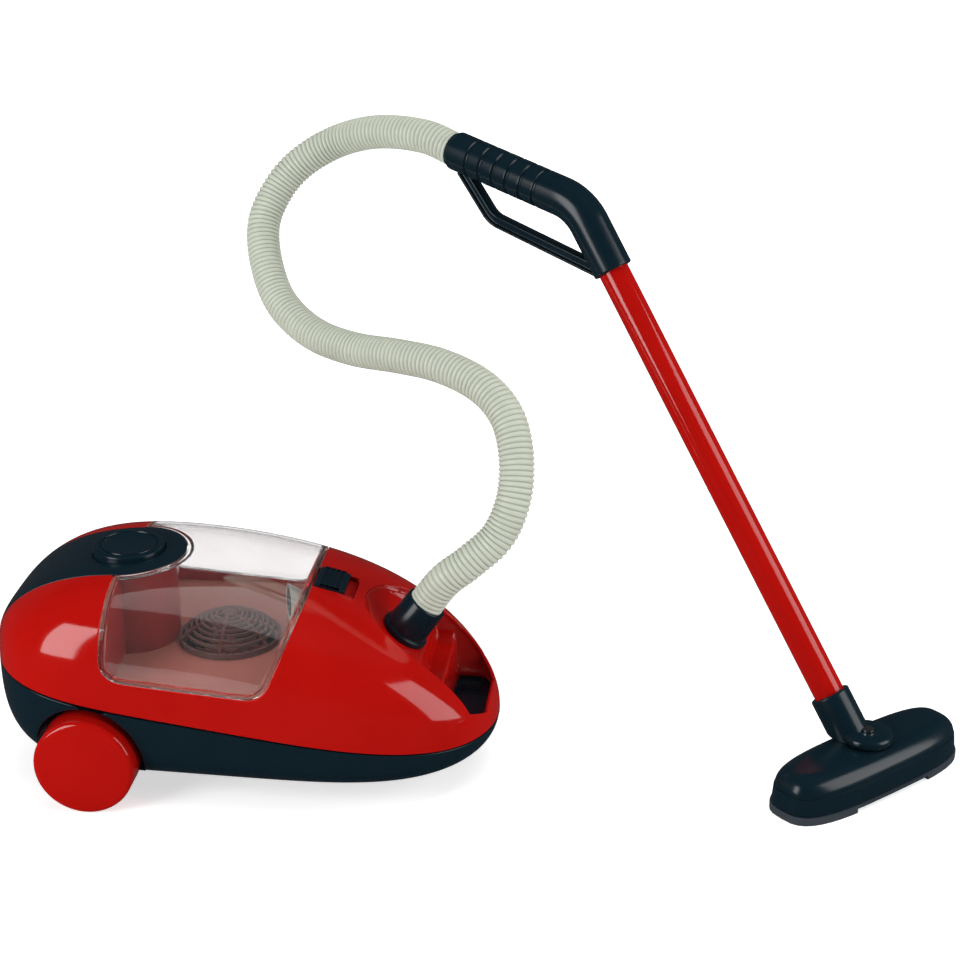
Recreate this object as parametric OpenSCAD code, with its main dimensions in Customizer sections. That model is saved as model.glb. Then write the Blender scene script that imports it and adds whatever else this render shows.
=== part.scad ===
// Toy canister vacuum cleaner on wheels, with a clear dust lid, ribbed hose, handle, wand and floor nozzle.
// Lengths are in millimetres. The canister is laid out with X from its rear end to its nose, Y to its left
// and Z up from the floor; the finished set is then shifted to put the origin at its footprint's centre.

/* [Housing] */
// Length of the canister
body_l = 324; // [300:1:350]
// Width of the canister at its widest
body_w = 176; // [166:1:190]
// Height of the crown above the floor
crown_h = 141; // [136:1:150]
// Height of the underside above the floor
base_z = 16; // [14:0.5:18]
// Height of the parting line at the rear end
belt_rear_z = 80; // [76:1:84]
// Height of the parting line at the nose
belt_nose_z = 36; // [34:1:40]
// Place of the widest section, from the rear end
wide_x = 141; // [130:1:150]
// Place of the crown, from the rear end
crown_x = 91; // [86:1:96]
// How far the crown line falls to the nose
nose_drop = 64; // [58:1:70]
// How far the crown line falls to the rear
rear_drop = 7; // [4:1:10]
// Wall of the moulded shells
wall = 2.4; // [2:0.1:3]

/* [Window and lid] */
// Rear edge of the lid
lid_rear_x = 84; // [82:1:88]
// Front edge of the lid at the crown
lid_front_x = 206; // [200:1:209]
// How far the front edge leans back at its foot
lid_rake = 20; // [12:1:26]
// Height of the lid's foot at its rear edge
lid_foot_rear_z = 89; // [86:1:94]
// Height of the lid's foot at its front edge
lid_foot_front_z = 80.5; // [79:0.5:86]
// Radius of the lid's lower corners
lid_corner_r = 15; // [8:1:20]
// Thickness of the clear lid
lid_t = 2; // [1.6:0.1:2.6]
// How far the lid is lifted to come clear
lid_lift = 70; // [40:1:90]

/* [Panel and button] */
// Centre of the panel's round end and of the button, from the rear end
panel_x = 84; // [82:1:88]
// Radius of the panel's round end
panel_r = 37.5; // [36:0.5:41]
// Width of the panel at the rear end
panel_rear_w = 68; // [60:1:76]
// Diameter of the power button
button_d = 46; // [42:1:50]
// How far the button stands above the panel
button_rise = 4; // [3:0.5:6]
// Travel of the button
button_travel = 3; // [2:0.5:4]

/* [Latch] */
// Length of the latch slide
latch_l = 20; // [16:1:22]
// Width of the latch slide
latch_w = 26; // [20:1:30]
// Travel of the latch
latch_travel = 5; // [3:0.5:6]
// Ribs across the latch
latch_ribs = 5; // [3:1:6]

/* [Scoop and hose socket] */
// Rear edge of the nose scoop
scoop_rear_x = 238; // [236:1:242]
// Radius of the scoop's rear end
scoop_r = 41; // [38:1:44]
// Thickness of the lip at the nose
lip_t = 5; // [4:0.5:7]
// Place of the hose socket, from the rear end
socket_x = 262; // [258:1:266]
// Height of the socket's seat
socket_z = 90.5; // [86:0.5:94]
// Angle of the socket's axis above the horizontal
socket_tilt = 55; // [50:1:60]
// Diameter of the cuff's plug in the socket
plug_d = 24; // [22:0.5:25]
// Length of the cuff's plug
plug_l = 18; // [14:1:22]
// Diameter of the cuff's flange
cuff_flange_d = 32; // [30:0.5:36]
// Length of the cuff above its seat
cuff_l = 27; // [22:1:32]

/* [Rear wheels] */
// Diameter of the rear wheels
wheel_d = 64; // [60:1:66]
// Width of a rear wheel
wheel_w = 24; // [20:1:26]
// Place of the rear axle, from the rear end
wheel_x = 73; // [70:1:80]
// Width over the rear wheels
track_w = 196; // [190:1:204]
// Diameter of the rear axle
axle_d = 5; // [4:0.5:6]

/* [Caster] */
// Place of the caster's swivel, from the rear end
caster_x = 256; // [252:1:262]
// Diameter of the caster's wheel
caster_d = 18; // [16:1:20]
// Width of the caster's wheel
caster_w = 10; // [8:1:12]

/* [Hose] */
// Outer diameter of the hose over its ribs
hose_d = 23; // [21:0.5:24]
// Bore of the hose
hose_bore = 18; // [16:0.5:18.5]
// Ribs along the hose
hose_ribs = 186; // [80:1:200]

/* [Handle and wand] */
// Diameter of the handle's grip
grip_d = 26; // [25:0.5:29]
// Length of the grip from the bend's corner to its end
grip_l = 103; // [98:1:108]
// Length of the wand socket from the bend's corner to its end
socket_leg = 48; // [46:0.5:52]
// Radius of the bend's centre line
bend_r = 36; // [30:1:38]
// Grooves round the grip
grip_grooves = 6; // [3:1:6]
// Diameter of the wand
wand_d = 20; // [18:0.5:20.5]
// Bore of the wand
wand_bore = 17; // [14:0.5:17]
// Length of wand that shows between the neck and the handle
wand_show = 306; // [280:1:330]
// Slope of the wand above the floor
wand_slope = 55; // [50:1:58]
// Slope of the grip
grip_slope = 11; // [8:1:14]

/* [Floor nozzle] */
// Length of the nozzle
nozzle_l = 150; // [140:1:170]
// Width of the nozzle
nozzle_w = 50; // [48:1:60]
// Height of the nozzle's cover
nozzle_h = 29.5; // [28:0.5:31]
// Height of the sole's lips
lip_h = 3; // [2:0.5:4]
// Diameter of the neck
neck_d = 26; // [25:0.5:28]

/* [Hidden] */

$fn = 48;
red = "#b5161b";
navy = "#16242f";
clear = [0.86, 0.84, 0.84, 0.4];
cream = "#d9dccb";
grey = "#9a9890";
steel = "#b9bcc0";
brass = "#c8a24a";
slate = "#26333d";
black = "#3a3f46";

// Clearances: edges of fixed panels, running fits of shafts, free gaps between moving pieces, seats
edge_gap = 0.4;
run_gap = 0.06;
free_gap = 0.5;
seat_gap = 0.1;
// Overrun of every cut
over = 1;

// Housing surface
stations = 26;
arc_steps = 18;
end_angle = 3;
rear_plan_power = 4.2;
rear_plan_root = 2.3;
nose_plan_power = 4;
nose_plan_root = 2;
rear_top_power = 4;
rear_top_root = 2.3;
nose_top_power = 4.5;
nose_top_root = 2;
low_rear_power = 5;
low_nose_power = 6;
low_root = 2.2;
side_power = 3.6;
roof_power = 2.9;
skirt_power = 7;
floor_power = 3.4;
nose_fall_power = 2.2;

function taper(u, power, root) = pow(max(0, 1 - pow(min(1, max(0, u)), power)), 1 / root);
function to_end(x, rp, rr, np, nr) = x < wide_x
    ? taper((wide_x - x) / wide_x, rp, rr)
    : taper((x - wide_x) / (body_l - wide_x), np, nr);
function belt_z(x) = belt_rear_z + (belt_nose_z - belt_rear_z) * x / body_l;
function half_w(x) = body_w / 2 * to_end(x, rear_plan_power, rear_plan_root, nose_plan_power, nose_plan_root);
function crown_line(x) = x > crown_x
    ? crown_h - nose_drop * pow((x - crown_x) / (body_l - crown_x), nose_fall_power)
    : crown_h - rear_drop * pow((crown_x - x) / crown_x, 2);
function roof_z(x) = belt_z(x)
    + (crown_line(x) - belt_z(x)) * to_end(x, rear_top_power, rear_top_root, nose_top_power, nose_top_root);
function keel_z(x) = belt_z(x)
    - (belt_z(x) - base_z) * to_end(x, low_rear_power, low_root, low_nose_power, low_root);
function signed_pow(v, p) = sign(v) * pow(abs(v), p);

// The point of a surface that lies t inside the housing, at place x and angle a round the section
function outer_x(x, t) = (x - t) * body_l / (body_l - 2 * t);
function body_pt(x, a, t) =
    let (xo = outer_x(x, t))
    let (z0 = belt_z(x))
    let (up = sin(a) >= 0)
    let (rise = up ? roof_z(xo) - belt_z(xo) : keel_z(xo) - belt_z(xo))
    let (shrink = up ? 1 - t / (crown_h - z0) : 1 - t / (z0 - base_z))
    [
        x,
        half_w(xo) * (1 - 2 * t / body_w) * signed_pow(cos(a), 2 / (up ? side_power : skirt_power)),
        z0 + rise * shrink * pow(abs(sin(a)), 2 / (up ? roof_power : floor_power)),
    ];
function station_angle(i) = end_angle + (180 - 2 * end_angle) * i / stations;
function station_x(i, t) = t + (body_l - 2 * t) * (1 - cos(station_angle(i))) / 2;
function half_rings(start, t) = [
    for (i = [0 : stations], j = [0 : arc_steps]) body_pt(station_x(i, t), start + 180 * j / arc_steps, t)
];

// Height of the roof over a point, and half width of the upper section at a height, t inside the surface
function roof_at(x, y, t) =
    let (c = pow(min(1, abs(y) / (half_w(x) - t)), side_power))
    belt_z(x) + (roof_z(x) - t - belt_z(x)) * pow(1 - c, 1 / roof_power);
function half_w_at(x, z, t) =
    (half_w(x) - t) * pow(1 - pow((z - belt_z(x)) / (roof_z(x) - t - belt_z(x)), roof_power), 1 / side_power);

// Quads between the stations of one skin, from point index at, facing out or in
function skin_faces(at, out) = [
    for (i = [0 : stations - 1], j = [0 : arc_steps - 1])
        let (row = arc_steps + 1, o = at + i * row + j)
        out ? [o, o + row, o + row + 1, o + 1] : [o, o + 1, o + row + 1, o + row]
];

// Half of the housing as a thin shell; start 0 is the upper half, 180 the lower half
module half_shell(start, t) {
    row = arc_steps + 1;
    inner = row * (stations + 1);
    last = stations * row;
    polyhedron(
        points = concat(half_rings(start, 0), half_rings(start, t)),
        faces = concat(
            skin_faces(0, true),
            skin_faces(inner, false),
            [for (i = [0 : stations - 1]) let (o = i * row) [o, o + inner, o + inner + row, o + row]],
            [for (i = [0 : stations - 1])
                let (o = i * row + arc_steps)
                [o, o + row, o + inner + row, o + inner]],
            [[for (j = [0 : arc_steps]) j]],
            [[for (j = [arc_steps : -1 : 0]) inner + j]],
            [[0, arc_steps, inner + arc_steps, inner]],
            [[for (j = [arc_steps : -1 : 0]) last + j]],
            [[for (j = [0 : arc_steps]) inner + last + j]],
            [[last + arc_steps, last, inner + last, inner + last + arc_steps]]
        )
    );
}

// Half of the housing as a solid, t inside its surface
module half_solid(start, t) {
    row = arc_steps + 1;
    last = stations * row;
    polyhedron(
        points = half_rings(start, t),
        faces = concat(
            skin_faces(0, true),
            [for (i = [0 : stations - 1]) let (o = i * row) [o, o + arc_steps, o + arc_steps + row, o + row]],
            [[for (j = [0 : arc_steps]) j]],
            [[for (j = [arc_steps : -1 : 0]) last + j]]
        )
    );
}

// Placing: the footprint's centre, and the frames of the wand, the nozzle, the socket and the latch
nozzle_x = 561;
nozzle_y = 2;
wand_heading = 31;
nozzle_heading = 45;
plan_steps = 40;
plan_power = 3.2;
function plan_pt(a, inset) = [
    (nozzle_w / 2 - inset) * signed_pow(cos(a), 2 / plan_power),
    (nozzle_l / 2 - inset) * signed_pow(sin(a), 2 / plan_power),
];
function nozzle_plan(inset) = [for (i = [0 : plan_steps - 1]) plan_pt(360 * i / plan_steps, inset)];
nozzle_reach = max([for (p = nozzle_plan(0)) p.x * cos(nozzle_heading) + p.y * sin(nozzle_heading)]);
wand_foot_z = 12;
neck_low_d = 8;
neck_top_d = 51;
corner_d = neck_top_d + wand_show + socket_leg;
corner_x = -corner_d * cos(wand_slope);
corner_z = wand_foot_z + corner_d * sin(wand_slope);
grip_end_x = corner_x - grip_l * cos(grip_slope);
grip_end_z = corner_z + grip_l * sin(grip_slope);
grip_reach = nozzle_y - grip_end_x * sin(wand_heading)
    + grip_d / 2 * sqrt(1 - pow(cos(grip_slope) * sin(wand_heading), 2));
mid_x = (station_x(0, 0) + nozzle_x + nozzle_reach) / 2;
mid_y = (grip_reach - track_w / 2) / 2;

module at_canister() {
    translate([-mid_x, -mid_y, 0]) children();
}

// Wand frame: origin on the floor under the nozzle's swivel, X along the wand's heading, away from the handle
module at_wand() {
    translate([nozzle_x - mid_x, nozzle_y - mid_y, 0]) rotate([0, 0, -wand_heading]) children();
}

module at_nozzle() {
    translate([nozzle_x - mid_x, nozzle_y - mid_y, 0]) rotate([0, 0, -nozzle_heading]) children();
}

// Along the wand: Z runs up the wand's axis from its foot
module along_wand(d) {
    translate([0, 0, wand_foot_z]) rotate([0, wand_slope - 90, 0]) translate([0, 0, d]) children();
}

// Socket frame: Z along the socket's axis, out of the housing, from the seat
module at_socket() {
    translate([socket_x, 0, socket_z]) rotate([0, 90 - socket_tilt, 0]) children();
}

// Latch frame: X down the slope of the roof towards the nose, from the lid's front edge
latch_slope = 14;
latch_h = 6;
latch_sink = 3.6;
latch_back = lid_front_x + edge_gap;
module at_latch() {
    translate([latch_back, 0, roof_at(latch_back, 0, 0)]) rotate([0, latch_slope, 0]) children();
}

// A tube along Z
module tube(d, bore, h) {
    difference() {
        cylinder(d = d, h = h);
        translate([0, 0, -over]) cylinder(d = bore, h = h + 2 * over);
    }
}

// Points of an arc of radius r round c
function arc(c, r, from, to, steps) =
    [for (i = [0 : steps]) let (a = from + (to - from) * i / steps) [c.x + r * cos(a), c.y + r * sin(a)]];

// Nose scoop: plan and side profile, grown by g
scoop_x = scoop_rear_x + scoop_r;
scoop_front_x = body_l - lip_t;
scoop_steps = 8;
step_x = 277;
ledge_x = 291;
ledge_z = 66;
deck_z = 34;
scoop_top_z = crown_h + over;
function seat_z(x) = socket_z - (x - socket_x) * tan(90 - socket_tilt);
function scoop_half(x, g) = min(scoop_r, half_w(x) - lip_t) + g;
function scoop_side_x(k, g) = scoop_x + (scoop_front_x + g - scoop_x) * k / scoop_steps;
function scoop_plan(g) = concat(
    arc([scoop_x, 0], scoop_r + g, 90, 270, 2 * scoop_steps),
    [for (k = [1 : scoop_steps]) [scoop_side_x(k, g), -scoop_half(scoop_side_x(k, 0), g)]],
    [for (k = [scoop_steps : -1 : 1]) [scoop_side_x(k, g), scoop_half(scoop_side_x(k, 0), g)]]
);
function scoop_side(g) =
    let (seat_drop = g / sin(socket_tilt))
    [
        [scoop_rear_x - g - over, scoop_top_z],
        [scoop_rear_x - g - over, seat_z(scoop_rear_x - g - over) - seat_drop],
        [step_x - g, seat_z(step_x - g) - seat_drop],
        [step_x - g, ledge_z - g],
        [ledge_x - g, ledge_z - g],
        [ledge_x - g, belt_nose_z - wall],
        [body_l, belt_nose_z - wall],
        [body_l, scoop_top_z],
    ];
module scoop(g) {
    intersection() {
        linear_extrude(scoop_top_z) polygon(scoop_plan(g));
        rotate([90, 0, 0]) linear_extrude(body_w, center = true) polygon(scoop_side(g));
    }
}

// Window in the upper shell, seen from the side, g inside its edges
lid_top_z = crown_h + over;
front_foot_x = lid_front_x - lid_rake;
corner_steps = 6;
rake_angle = atan2(roof_z(lid_front_x) - lid_foot_front_z, lid_rake);
foot_angle = atan2(lid_foot_front_z - lid_foot_rear_z, front_foot_x - lid_rear_x);
function foot_z(x) = lid_foot_rear_z + (x - lid_rear_x) * tan(foot_angle);
function window_outline(g) =
    let (r = lid_corner_r - g)
    let (rear_c = [
        lid_rear_x + lid_corner_r,
        foot_z(lid_rear_x + lid_corner_r) + lid_corner_r / cos(foot_angle),
    ])
    let (lean = (180 - rake_angle + foot_angle) / 2)
    let (back = lid_corner_r / tan(lean))
    let (front_c = [
        front_foot_x - back * cos(foot_angle) - lid_corner_r * sin(foot_angle),
        lid_foot_front_z - back * sin(foot_angle) + lid_corner_r * cos(foot_angle),
    ])
    let (top_x = lid_front_x - g / sin(rake_angle) + (lid_top_z - roof_z(lid_front_x)) / tan(rake_angle))
    concat(
        [[lid_rear_x + g, lid_top_z]],
        arc(rear_c, r, 180, 270 + foot_angle, corner_steps),
        arc(front_c, r, 270 + foot_angle, 270 + rake_angle, corner_steps),
        [[top_x, lid_top_z]]
    );
module window(g) {
    rotate([90, 0, 0]) linear_extrude(body_w + 2 * over, center = true) polygon(window_outline(g));
}

// Tongue of the control panel in plan, g outside its edges
module tongue(g) {
    linear_extrude(crown_h + over) {
        translate([panel_x, 0]) circle(r = panel_r + g);
        polygon([
            [panel_x, panel_r + g],
            [-over, panel_rear_w / 2 + g],
            [-over, -panel_rear_w / 2 - g],
            [panel_x, -panel_r - g],
        ]);
    }
}

// Latch pocket in the roof
pocket_l = latch_l + latch_travel + 2 * free_gap;
pocket_w = latch_w + 2 * free_gap;
module latch_pocket(g) {
    at_latch() translate([-over, -pocket_w / 2 - g, -latch_sink - g])
        cube([pocket_l + over + g, pocket_w + 2 * g, latch_h + latch_sink + g]);
}

// Screws that hold the two shells together, from below
screw_d = 3;
screw_head_d = 5.5;
screw_head_h = 2.2;
post_d = 10;
post_rise = 15;
screw_xs = [122, 286];
screw_y_share = 0.7;
function screw_y(x) = half_w(x) * screw_y_share;
module at_screws() {
    for (x = screw_xs, side = [-1, 1]) let ($post_x = x) translate([x, side * screw_y(x), 0]) children();
}

module top_shell() {
    color(red) at_canister() difference() {
        union() {
            half_shell(0, wall);
            intersection() {
                half_solid(0, 0);
                union() {
                    scoop(wall);
                    latch_pocket(wall);
                    top_posts();
                }
            }
            at_socket() translate([0, 0, -plug_l]) cylinder(d = plug_d + 2 * wall, h = plug_l - wall / 2);
        }
        scoop(0);
        latch_pocket(0);
        window(0);
        tongue(0);
        at_socket() translate([0, 0, -plug_l - over])
            cylinder(d = plug_d + 2 * run_gap, h = plug_l + 2 * over);
        at_screws() cylinder(d = screw_d, h = belt_z($post_x) + post_rise / 2 + over);
    }
}

// Screw posts of the upper shell, each webbed to the side wall
module top_posts() {
    for (x = screw_xs) {
        h = min(belt_z(x) + post_rise, tray_z - wall);
        both_sides() {
            translate([x, screw_y(x), 0]) cylinder(d = post_d, h = h);
            translate([x - wall / 2, screw_y(x), 0]) cube([wall, half_w(x) - screw_y(x), h]);
        }
    }
}

// Rear wheel arches of the base, grown by g, with the wall inside each wheel
arch_gap = 4;
arch_d = wheel_d + 2 * arch_gap;
arch_y = track_w / 2 - wheel_w - 2 * free_gap;
axle_z = wheel_d / 2;
axle_boss_d = 11;
axle_boss_l = 14;
module both_sides() {
    children();
    mirror([0, 1, 0]) children();
}
module wheel_arches(g) {
    both_sides() translate([wheel_x, arch_y - g, axle_z]) rotate([-90, 0, 0])
        cylinder(d = arch_d + 2 * g, h = body_w / 2);
}

// Caster well under the nose, grown by g
well_d = 36;
well_h = 27;
stem_d = 6;
stem_boss_d = 12;
stem_boss_h = 14;
module caster_well(g) {
    translate([caster_x, 0, -over]) cylinder(d = well_d + 2 * g, h = well_h + over + g);
}

// Battery bay in the base floor
cell_d = 14.3;
cell_l = 50.5;
cell_pitch = 15.2;
cell_count = 3;
bay_x = 203;
bay_wall = 1.6;
bay_end = 2.6;
bay_l = cell_l + 2 * bay_end;
bay_w = cell_count * cell_pitch;
cell_room = 2;
bay_h = cell_d + cell_room;
door_tail = 9;
door_l = bay_w + door_tail;
floor_z = base_z + wall;
module door_outline(g) {
    translate([bay_x - bay_w / 2 - g, -bay_l / 2 - g]) square([door_l + 2 * g, bay_l + 2 * g]);
}

// Outline of the battery tray with its screw boss, grown by g
screw_boss_d = 8;
module bay_outline(g) {
    translate([bay_x, 0]) {
        square([bay_w + 2 * bay_wall + 2 * g, bay_l + 2 * bay_wall + 2 * g], center = true);
        translate([bay_w / 2 + door_tail / 2, 0]) circle(d = screw_boss_d + 2 * g);
    }
}

module base_shell() {
    color(navy) at_canister() difference() {
        union() {
            half_shell(180, wall);
            intersection() {
                half_solid(180, 0);
                union() {
                    wheel_arches(wall);
                    caster_well(wall);
                    at_screws() cylinder(d = post_d, h = belt_rear_z);
                    nose_deck();
                }
            }
            axle_bosses();
            translate([caster_x, 0, well_h]) cylinder(d = stem_boss_d, h = stem_boss_h);
        }
        wheel_arches(0);
        caster_well(0);
        translate([wheel_x, 0, axle_z]) rotate([90, 0, 0])
            cylinder(d = axle_d + 2 * run_gap, h = track_w, center = true);
        translate([caster_x, 0, 0]) cylinder(d = stem_d + 2 * run_gap, h = well_h + stem_boss_h + over);
        linear_extrude(floor_z + over) door_outline(edge_gap / 2);
        floor_seats();
        at_screws() {
            cylinder(d = screw_d + 2 * run_gap, h = belt_rear_z);
            cylinder(d = screw_head_d + 2 * free_gap, h = screw_floor_z($post_x) + screw_head_h + free_gap);
        }
    }
}

// Flat seats on the base floor for the battery tray and the motor cradle
module floor_seats() {
    translate([0, 0, floor_z]) {
        linear_extrude(bay_h) bay_outline(free_gap);
        translate([fan_x, 0, 0]) cylinder(d = cradle_flange_d + 2 * free_gap, h = cradle_h);
    }
}

module axle_bosses() {
    both_sides() translate([wheel_x, arch_y - wall - axle_boss_l, axle_z]) rotate([-90, 0, 0])
        cylinder(d = axle_boss_d, h = axle_boss_l + wall / 2);
}

// Deck of the base under the open front of the nose scoop
deck_back_x = ledge_x - 2 * wall;
function deck_x(k) = deck_back_x + (body_l - wall / 2 - deck_back_x) * k / scoop_steps;
module nose_deck() {
    translate([0, 0, deck_z - wall]) linear_extrude(wall) polygon(concat(
        [for (k = [0 : scoop_steps]) [deck_x(k), -half_w(deck_x(k))]],
        [for (k = [scoop_steps : -1 : 0]) [deck_x(k), half_w(deck_x(k))]]
    ));
}

module control_panel() {
    color(navy) at_canister() difference() {
        union() {
            intersection() {
                half_shell(0, wall);
                tongue(-edge_gap);
            }
            translate([panel_x, 0, button_z - collar_h]) tube(collar_d, collar_bore, collar_h - wall / 2);
        }
        translate([panel_x, 0, button_z - collar_h])
            cylinder(d = button_d + 2 * free_gap, h = collar_h + crown_h);
    }
}

module clear_lid() {
    color(clear) at_canister() difference() {
        intersection() {
            half_shell(0, lid_t);
            window(edge_gap);
        }
        tongue(0);
    }
}

// Collar under the panel, round the button
button_z = roof_z(panel_x);
collar_h = 20;
button_flange_w = 2;
button_flange_d = button_d + 2 * button_flange_w;
collar_bore = button_flange_d + 2 * free_gap;
collar_d = collar_bore + 2 * wall;

// Dust tray: a floor between the housing's sides, a round rear wall about the collar and a front wall
tray_z = 80;
tray_steps = 8;
tray_gap = wall + free_gap;
drum_bore_r = collar_d / 2 + edge_gap;
drum_top_z = roof_at(panel_x + drum_bore_r + wall, panel_r, wall) - 2 * edge_gap;
front_wall_x = 200;
fan_x = 148;
grille_d = 66;
vent_d = 58;
function section_outline(x, low) =
    let (a0 = asin(pow((low - belt_z(x)) / (roof_z(x) - tray_gap - belt_z(x)), roof_power / 2)))
    [for (j = [0 : arc_steps]) let (a = a0 + (180 - 2 * a0) * j / arc_steps) [
        (half_w(x) - tray_gap) * signed_pow(cos(a), 2 / side_power),
        belt_z(x) + (roof_z(x) - tray_gap - belt_z(x)) * pow(sin(a), 2 / roof_power),
    ]];
module cross_wall(x) {
    translate([x, 0, 0]) rotate([90, 0, 90]) linear_extrude(wall)
        polygon(section_outline(x + wall, tray_z - wall));
}
module dust_tray() {
    tray_l = front_wall_x + wall - lid_rear_x;
    edge = [for (k = [0 : tray_steps])
        let (x = lid_rear_x + tray_l * k / tray_steps)
        [x, half_w_at(x, tray_z, tray_gap)]];
    color(red) at_canister() difference() {
        union() {
            translate([0, 0, tray_z - wall]) linear_extrude(wall)
                polygon(concat(edge, [for (k = [tray_steps : -1 : 0]) [edge[k].x, -edge[k].y]]));
            cross_wall(lid_rear_x);
            cross_wall(front_wall_x);
            intersection() {
                translate([panel_x, 0, tray_z - wall])
                    cylinder(r = drum_bore_r + wall, h = drum_top_z - tray_z + wall);
                translate([panel_x, -panel_r, 0]) cube([panel_r, 2 * panel_r, crown_h]);
            }
        }
        translate([panel_x, 0, tray_z - wall - over]) cylinder(r = drum_bore_r, h = crown_h);
        translate([fan_x, 0, tray_z - wall - over]) cylinder(d = vent_d, h = wall + 2 * over);
        along_duct(-over) cylinder(d = duct_d + 2 * edge_gap, h = duct_l);
    }
}

// Domed grille over the fan
grille_rings = 8;
grille_ribs = 6;
first_rib = 30;
dome_h = 15;
ring_w = 1.6;
ring_t = 2;
rib_w = 2;
grille_rim_h = 4;
hub_r = 5;
function dome_z(r) = dome_h * (1 - pow(2 * r / grille_d, 2));
function ring_r(k) = hub_r + (grille_d / 2 - ring_w - hub_r) * k / grille_rings;
module filter_grille() {
    rib_in = hub_r - ring_w / 2;
    rib_out = grille_d / 2 - ring_w / 2;
    steps = grille_rings;
    rib_top = [for (k = [0 : steps])
        let (r = rib_in + (rib_out - rib_in) * k / steps)
        [r, grille_rim_h + dome_z(r)]];
    color(red) at_canister() translate([fan_x, 0, tray_z]) {
        tube(grille_d, grille_d - 2 * ring_w, grille_rim_h);
        translate([0, 0, grille_rim_h]) {
            translate([0, 0, dome_z(hub_r) - ring_t])
                cylinder(r = hub_r, h = dome_h - dome_z(hub_r) + ring_t);
            for (k = [1 : grille_rings - 1]) translate([0, 0, dome_z(ring_r(k)) - ring_t])
                tube(2 * ring_r(k) + ring_w, 2 * ring_r(k) - ring_w, ring_t);
        }
        for (k = [0 : grille_ribs - 1]) rotate([90, 0, first_rib + 360 * k / grille_ribs])
            linear_extrude(rib_w, center = true)
                polygon(concat(rib_top, [for (i = [steps : -1 : 0]) rib_top[i] - [0, ring_t + wall / 2]]));
    }
}

// Inlet duct from the hose socket to the dust chamber
duct_d = 20;
duct_bore = 16;
duct_slope = 25;
duct_mouth_x = 182;
duct_drop = 31;
duct_mouth_z = crown_h - duct_drop;
duct_l = 60;
module along_duct(d) {
    translate([duct_mouth_x, 0, duct_mouth_z]) rotate([0, 90 + duct_slope, 0])
        translate([0, 0, d]) children();
}
module inlet_duct() {
    color(grey) at_canister() along_duct(0) tube(duct_d, duct_bore, duct_l);
}

// Power button, its return spring and the switch under the panel
button_skin = 2.4;
button_flange_h = 2.4;
button_dome = 0.8;
groove_r = 17.5;
groove_w = 1.4;
groove_deep = 0.8;
stem_r = 2.5;
stem_in_switch = 4;
switch_l = 16;
switch_w = 12;
switch_h = 11;
plate_t = 2;
module power_button() {
    flange_top = roof_z(panel_x - button_flange_d / 2) - wall - edge_gap - button_z;
    low = flange_top - button_flange_h;
    top = button_rise;
    color(navy) at_canister() translate([panel_x, 0, button_z]) rotate_extrude() polygon([
        [0, -collar_h - plate_t - stem_in_switch],
        [stem_r, -collar_h - plate_t - stem_in_switch],
        [stem_r, top - button_skin],
        [button_d / 2 - button_skin, top - button_skin],
        [button_d / 2 - button_skin, low],
        [button_flange_d / 2, low],
        [button_flange_d / 2, flange_top],
        [button_d / 2, flange_top],
        [button_d / 2, top - button_dome],
        [button_d / 2 - button_dome, top],
        [groove_r + groove_w, top],
        [groove_r + groove_w, top - groove_deep],
        [groove_r, top - groove_deep],
        [groove_r, top],
        [0, top],
    ]);
}

spring_r = 8;
wire_d = 1.2;
spring_turns = 7;
turn_rings = 8;
wire_sides = 6;
module button_spring() {
    low = -collar_h + wire_d / 2 + seat_gap;
    high = button_rise - button_skin - wire_d / 2 - seat_gap;
    count = spring_turns * turn_rings;
    rise = (high - low) / count;
    color(steel) at_canister() translate([panel_x, 0, button_z]) polyhedron(
        points = [for (i = [0 : count], j = [0 : wire_sides - 1])
            let (a = 360 * i / turn_rings, b = 360 * j / wire_sides, r = spring_r + wire_d / 2 * cos(b))
            [r * cos(a), r * sin(a), low + rise * i + wire_d / 2 * sin(b)]],
        faces = concat(
            [for (i = [0 : count - 1], j = [0 : wire_sides - 1], half = [0, 1])
                let (a = i * wire_sides + j, b = i * wire_sides + (j + 1) % wire_sides)
                half == 0 ? [a, a + wire_sides, b + wire_sides] : [a, b + wire_sides, b]],
            [[for (j = [0 : wire_sides - 1]) j]],
            [[for (j = [wire_sides - 1 : -1 : 0]) count * wire_sides + j]]
        )
    );
}

module switch_plate() {
    color(grey) at_canister() translate([panel_x, 0, button_z - collar_h - plate_t])
        tube(collar_d, 2 * (stem_r + free_gap), plate_t);
}

module switch_body() {
    top = button_z - collar_h - plate_t;
    color(black) at_canister() translate([panel_x, 0, top - switch_h]) difference() {
        translate([-switch_l / 2, -switch_w / 2, 0]) cube([switch_l, switch_w, switch_h]);
        translate([0, 0, switch_h - stem_in_switch - button_travel - free_gap])
            cylinder(r = stem_r + run_gap, h = switch_h);
    }
}

// Lid latch: a ribbed slide in the roof pocket
latch_rib_h = 1.2;
latch_proud = 1.6;
latch_base_h = latch_sink + latch_proud;
module lid_latch() {
    pitch = latch_l / (latch_ribs + 1);
    color(navy) at_canister() at_latch() translate([free_gap / 2, -latch_w / 2, -latch_sink + seat_gap]) {
        cube([latch_l, latch_w, latch_base_h]);
        for (k = [1 : latch_ribs]) translate([k * pitch - pitch / 4, 0, latch_base_h - over])
            cube([pitch / 2, latch_w, latch_rib_h + over]);
    }
}

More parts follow.
